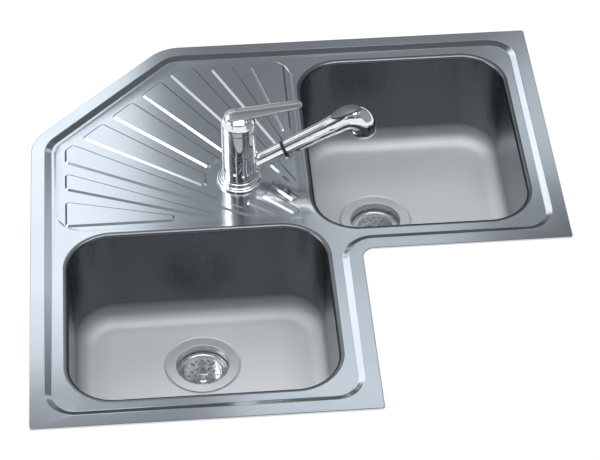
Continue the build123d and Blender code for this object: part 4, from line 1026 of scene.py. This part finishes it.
@dataclass
class Studio:
    """The pale worktop, the lamps, the cards and the white surroundings."""

    floor_z: float = -0.2 * MM
    floor_size: float = 6.0
    cut_inset: float = 12.0 * MM
    back_chamfer: float = 218 * MM
    white: float = 0.86
    floor_glow: float = 0.7
    ambient: float = 0.55

    def build(self) -> None:
        """Sets the whole stage."""
        self.worktop()
        self.surroundings()
        for stand in (*LAMPS, *CARDS):
            stand.build()

    def worktop(self) -> None:
        """Lays the pale floor round the sink's cut-out; seen from below it isn't there."""
        mesh = bmesh.new()
        low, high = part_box("sink_deck")
        cut = self.cut_inset
        inner_x, inner_y = -cut, cut
        hole = [
            (low.x + cut, low.y + cut),
            (inner_x, low.y + cut),
            (inner_x, inner_y),
            (high.x - cut, inner_y),
            (high.x - cut, high.y - cut),
            (low.x + self.back_chamfer + cut, high.y - cut),
            (low.x + cut, high.y - self.back_chamfer - cut),
        ]
        half = self.floor_size / 2
        edge = [(-half, -half), (half, -half), (half, half), (-half, half)]
        for loop in (hole, edge):
            verts = [mesh.verts.new((x, y, self.floor_z)) for x, y in loop]
            for first, second in zip(verts, verts[1:] + verts[:1]):
                mesh.edges.new((first, second))
        bmesh.ops.triangle_fill(mesh, edges=mesh.edges, use_beauty=True)
        bmesh.ops.recalc_face_normals(mesh, faces=mesh.faces)
        if next(iter(mesh.faces)).normal.z < 0:
            bmesh.ops.reverse_faces(mesh, faces=mesh.faces)
        floor = place_mesh("worktop_floor", mesh, self.floor_paint())

    def floor_paint(self) -> bpy.types.Material:
        """Pale paint that keeps a faint shadow and is clear from below.

        Returns:
            The floor's material.
        """
        paint = bpy.data.materials.new("worktop_pale")
        paint.use_nodes = True
        paint.node_tree.nodes.clear()
        graph = Graph(paint.node_tree)
        lit = graph.node("ShaderNodeBsdfDiffuse", Color=(self.white, self.white, self.white, 1.0))
        glow = graph.node("ShaderNodeEmission", Strength=1.0)
        share = graph.node("ShaderNodeMath", operation="MULTIPLY")
        share.inputs[1].default_value = self.floor_glow
        graph.link(graph.camera_or_mirror(), share.inputs[0])
        blend = graph.node("ShaderNodeMixShader")
        graph.link(share.outputs[0], blend.inputs[0])
        graph.link(lit.outputs[0], blend.inputs[1])
        graph.link(glow.outputs[0], blend.inputs[2])
        side = graph.node("ShaderNodeNewGeometry")
        clear = graph.node("ShaderNodeBsdfTransparent")
        one_way = graph.node("ShaderNodeMixShader")
        graph.link(side.outputs["Backfacing"], one_way.inputs[0])
        graph.link(blend.outputs[0], one_way.inputs[1])
        graph.link(clear.outputs[0], one_way.inputs[2])
        out = graph.node("ShaderNodeOutputMaterial")
        graph.link(one_way.outputs[0], out.inputs["Surface"])
        return paint

    def surroundings(self) -> None:
        """White round the object for the camera and for reflections, softer as light."""
        world = bpy.data.worlds.new("pale_surroundings")
        bpy.context.scene.world = world
        world.use_nodes = True
        world.node_tree.nodes.clear()
        graph = Graph(world.node_tree)
        path = graph.node("ShaderNodeLightPath")
        seen = graph.node("ShaderNodeMath", operation="MAXIMUM")
        graph.link(graph.camera_or_mirror(), seen.inputs[0])
        graph.link(path.outputs["Is Transmission Ray"], seen.inputs[1])
        soft = graph.node("ShaderNodeBackground", Strength=self.ambient)
        white = graph.node("ShaderNodeBackground", Strength=1.0)
        for glow in (soft, white):
            glow.inputs["Color"].default_value = (1.0, 1.0, 1.0, 1.0)
        blend = graph.node("ShaderNodeMixShader")
        graph.link(seen.outputs[0], blend.inputs[0])
        graph.link(soft.outputs[0], blend.inputs[1])
        graph.link(white.outputs[0], blend.inputs[2])
        out = graph.node("ShaderNodeOutputWorld")
        graph.link(blend.outputs[0], out.inputs["Surface"])


@dataclass(frozen=True)
class PhotoCamera:
    """The photograph's viewpoint: angles in degrees, lengths in metres, lens and sensor in mm."""

    azimuth: float = -4.73
    elevation: float = 43.96
    roll: float = 0.12
    target: Point = (-0.09171, 0.04777, 0.0030)
    distance: float = 3.43145
    lens: float = 133.92
    sensor: float = 36.0

    def build(self) -> None:
        """Places the camera."""
        data = bpy.data.cameras.new("photo_camera")
        data.lens = self.lens
        data.sensor_width = self.sensor
        data.clip_end = 50.0
        camera = bpy.data.objects.new("photo_camera", data)
        bpy.context.scene.collection.objects.link(camera)
        turn, rise, roll = (math.radians(angle) for angle in (self.azimuth, self.elevation, self.roll))
        ahead = Vector((-math.sin(turn) * math.cos(rise), math.cos(turn) * math.cos(rise), -math.sin(rise)))
        level = ahead.to_track_quat("-Z", "Y")
        camera.rotation_mode = "QUATERNION"
        camera.rotation_quaternion = level @ Matrix.Rotation(roll, 3, "Z").to_quaternion()
        camera.location = Vector(self.target) - ahead * self.distance
        bpy.context.scene.camera = camera


def main() -> None:
    """Builds the sink, the tap and the studio in order."""
    logging.basicConfig(level=logging.INFO, format="%(name)s: %(message)s")
    bpy.context.scene.view_settings.view_transform = "Standard"
    PhotoCamera().build()
    SinkTop().build()
    for side in Side:
        Bowl(side).build()
        StrainerWaste(side).build()
    TapBody().build()
    Spout().build()
    Handset().build()
    LeverHead().build()
    Studio().build()


if __name__ == "__main__":
    main()
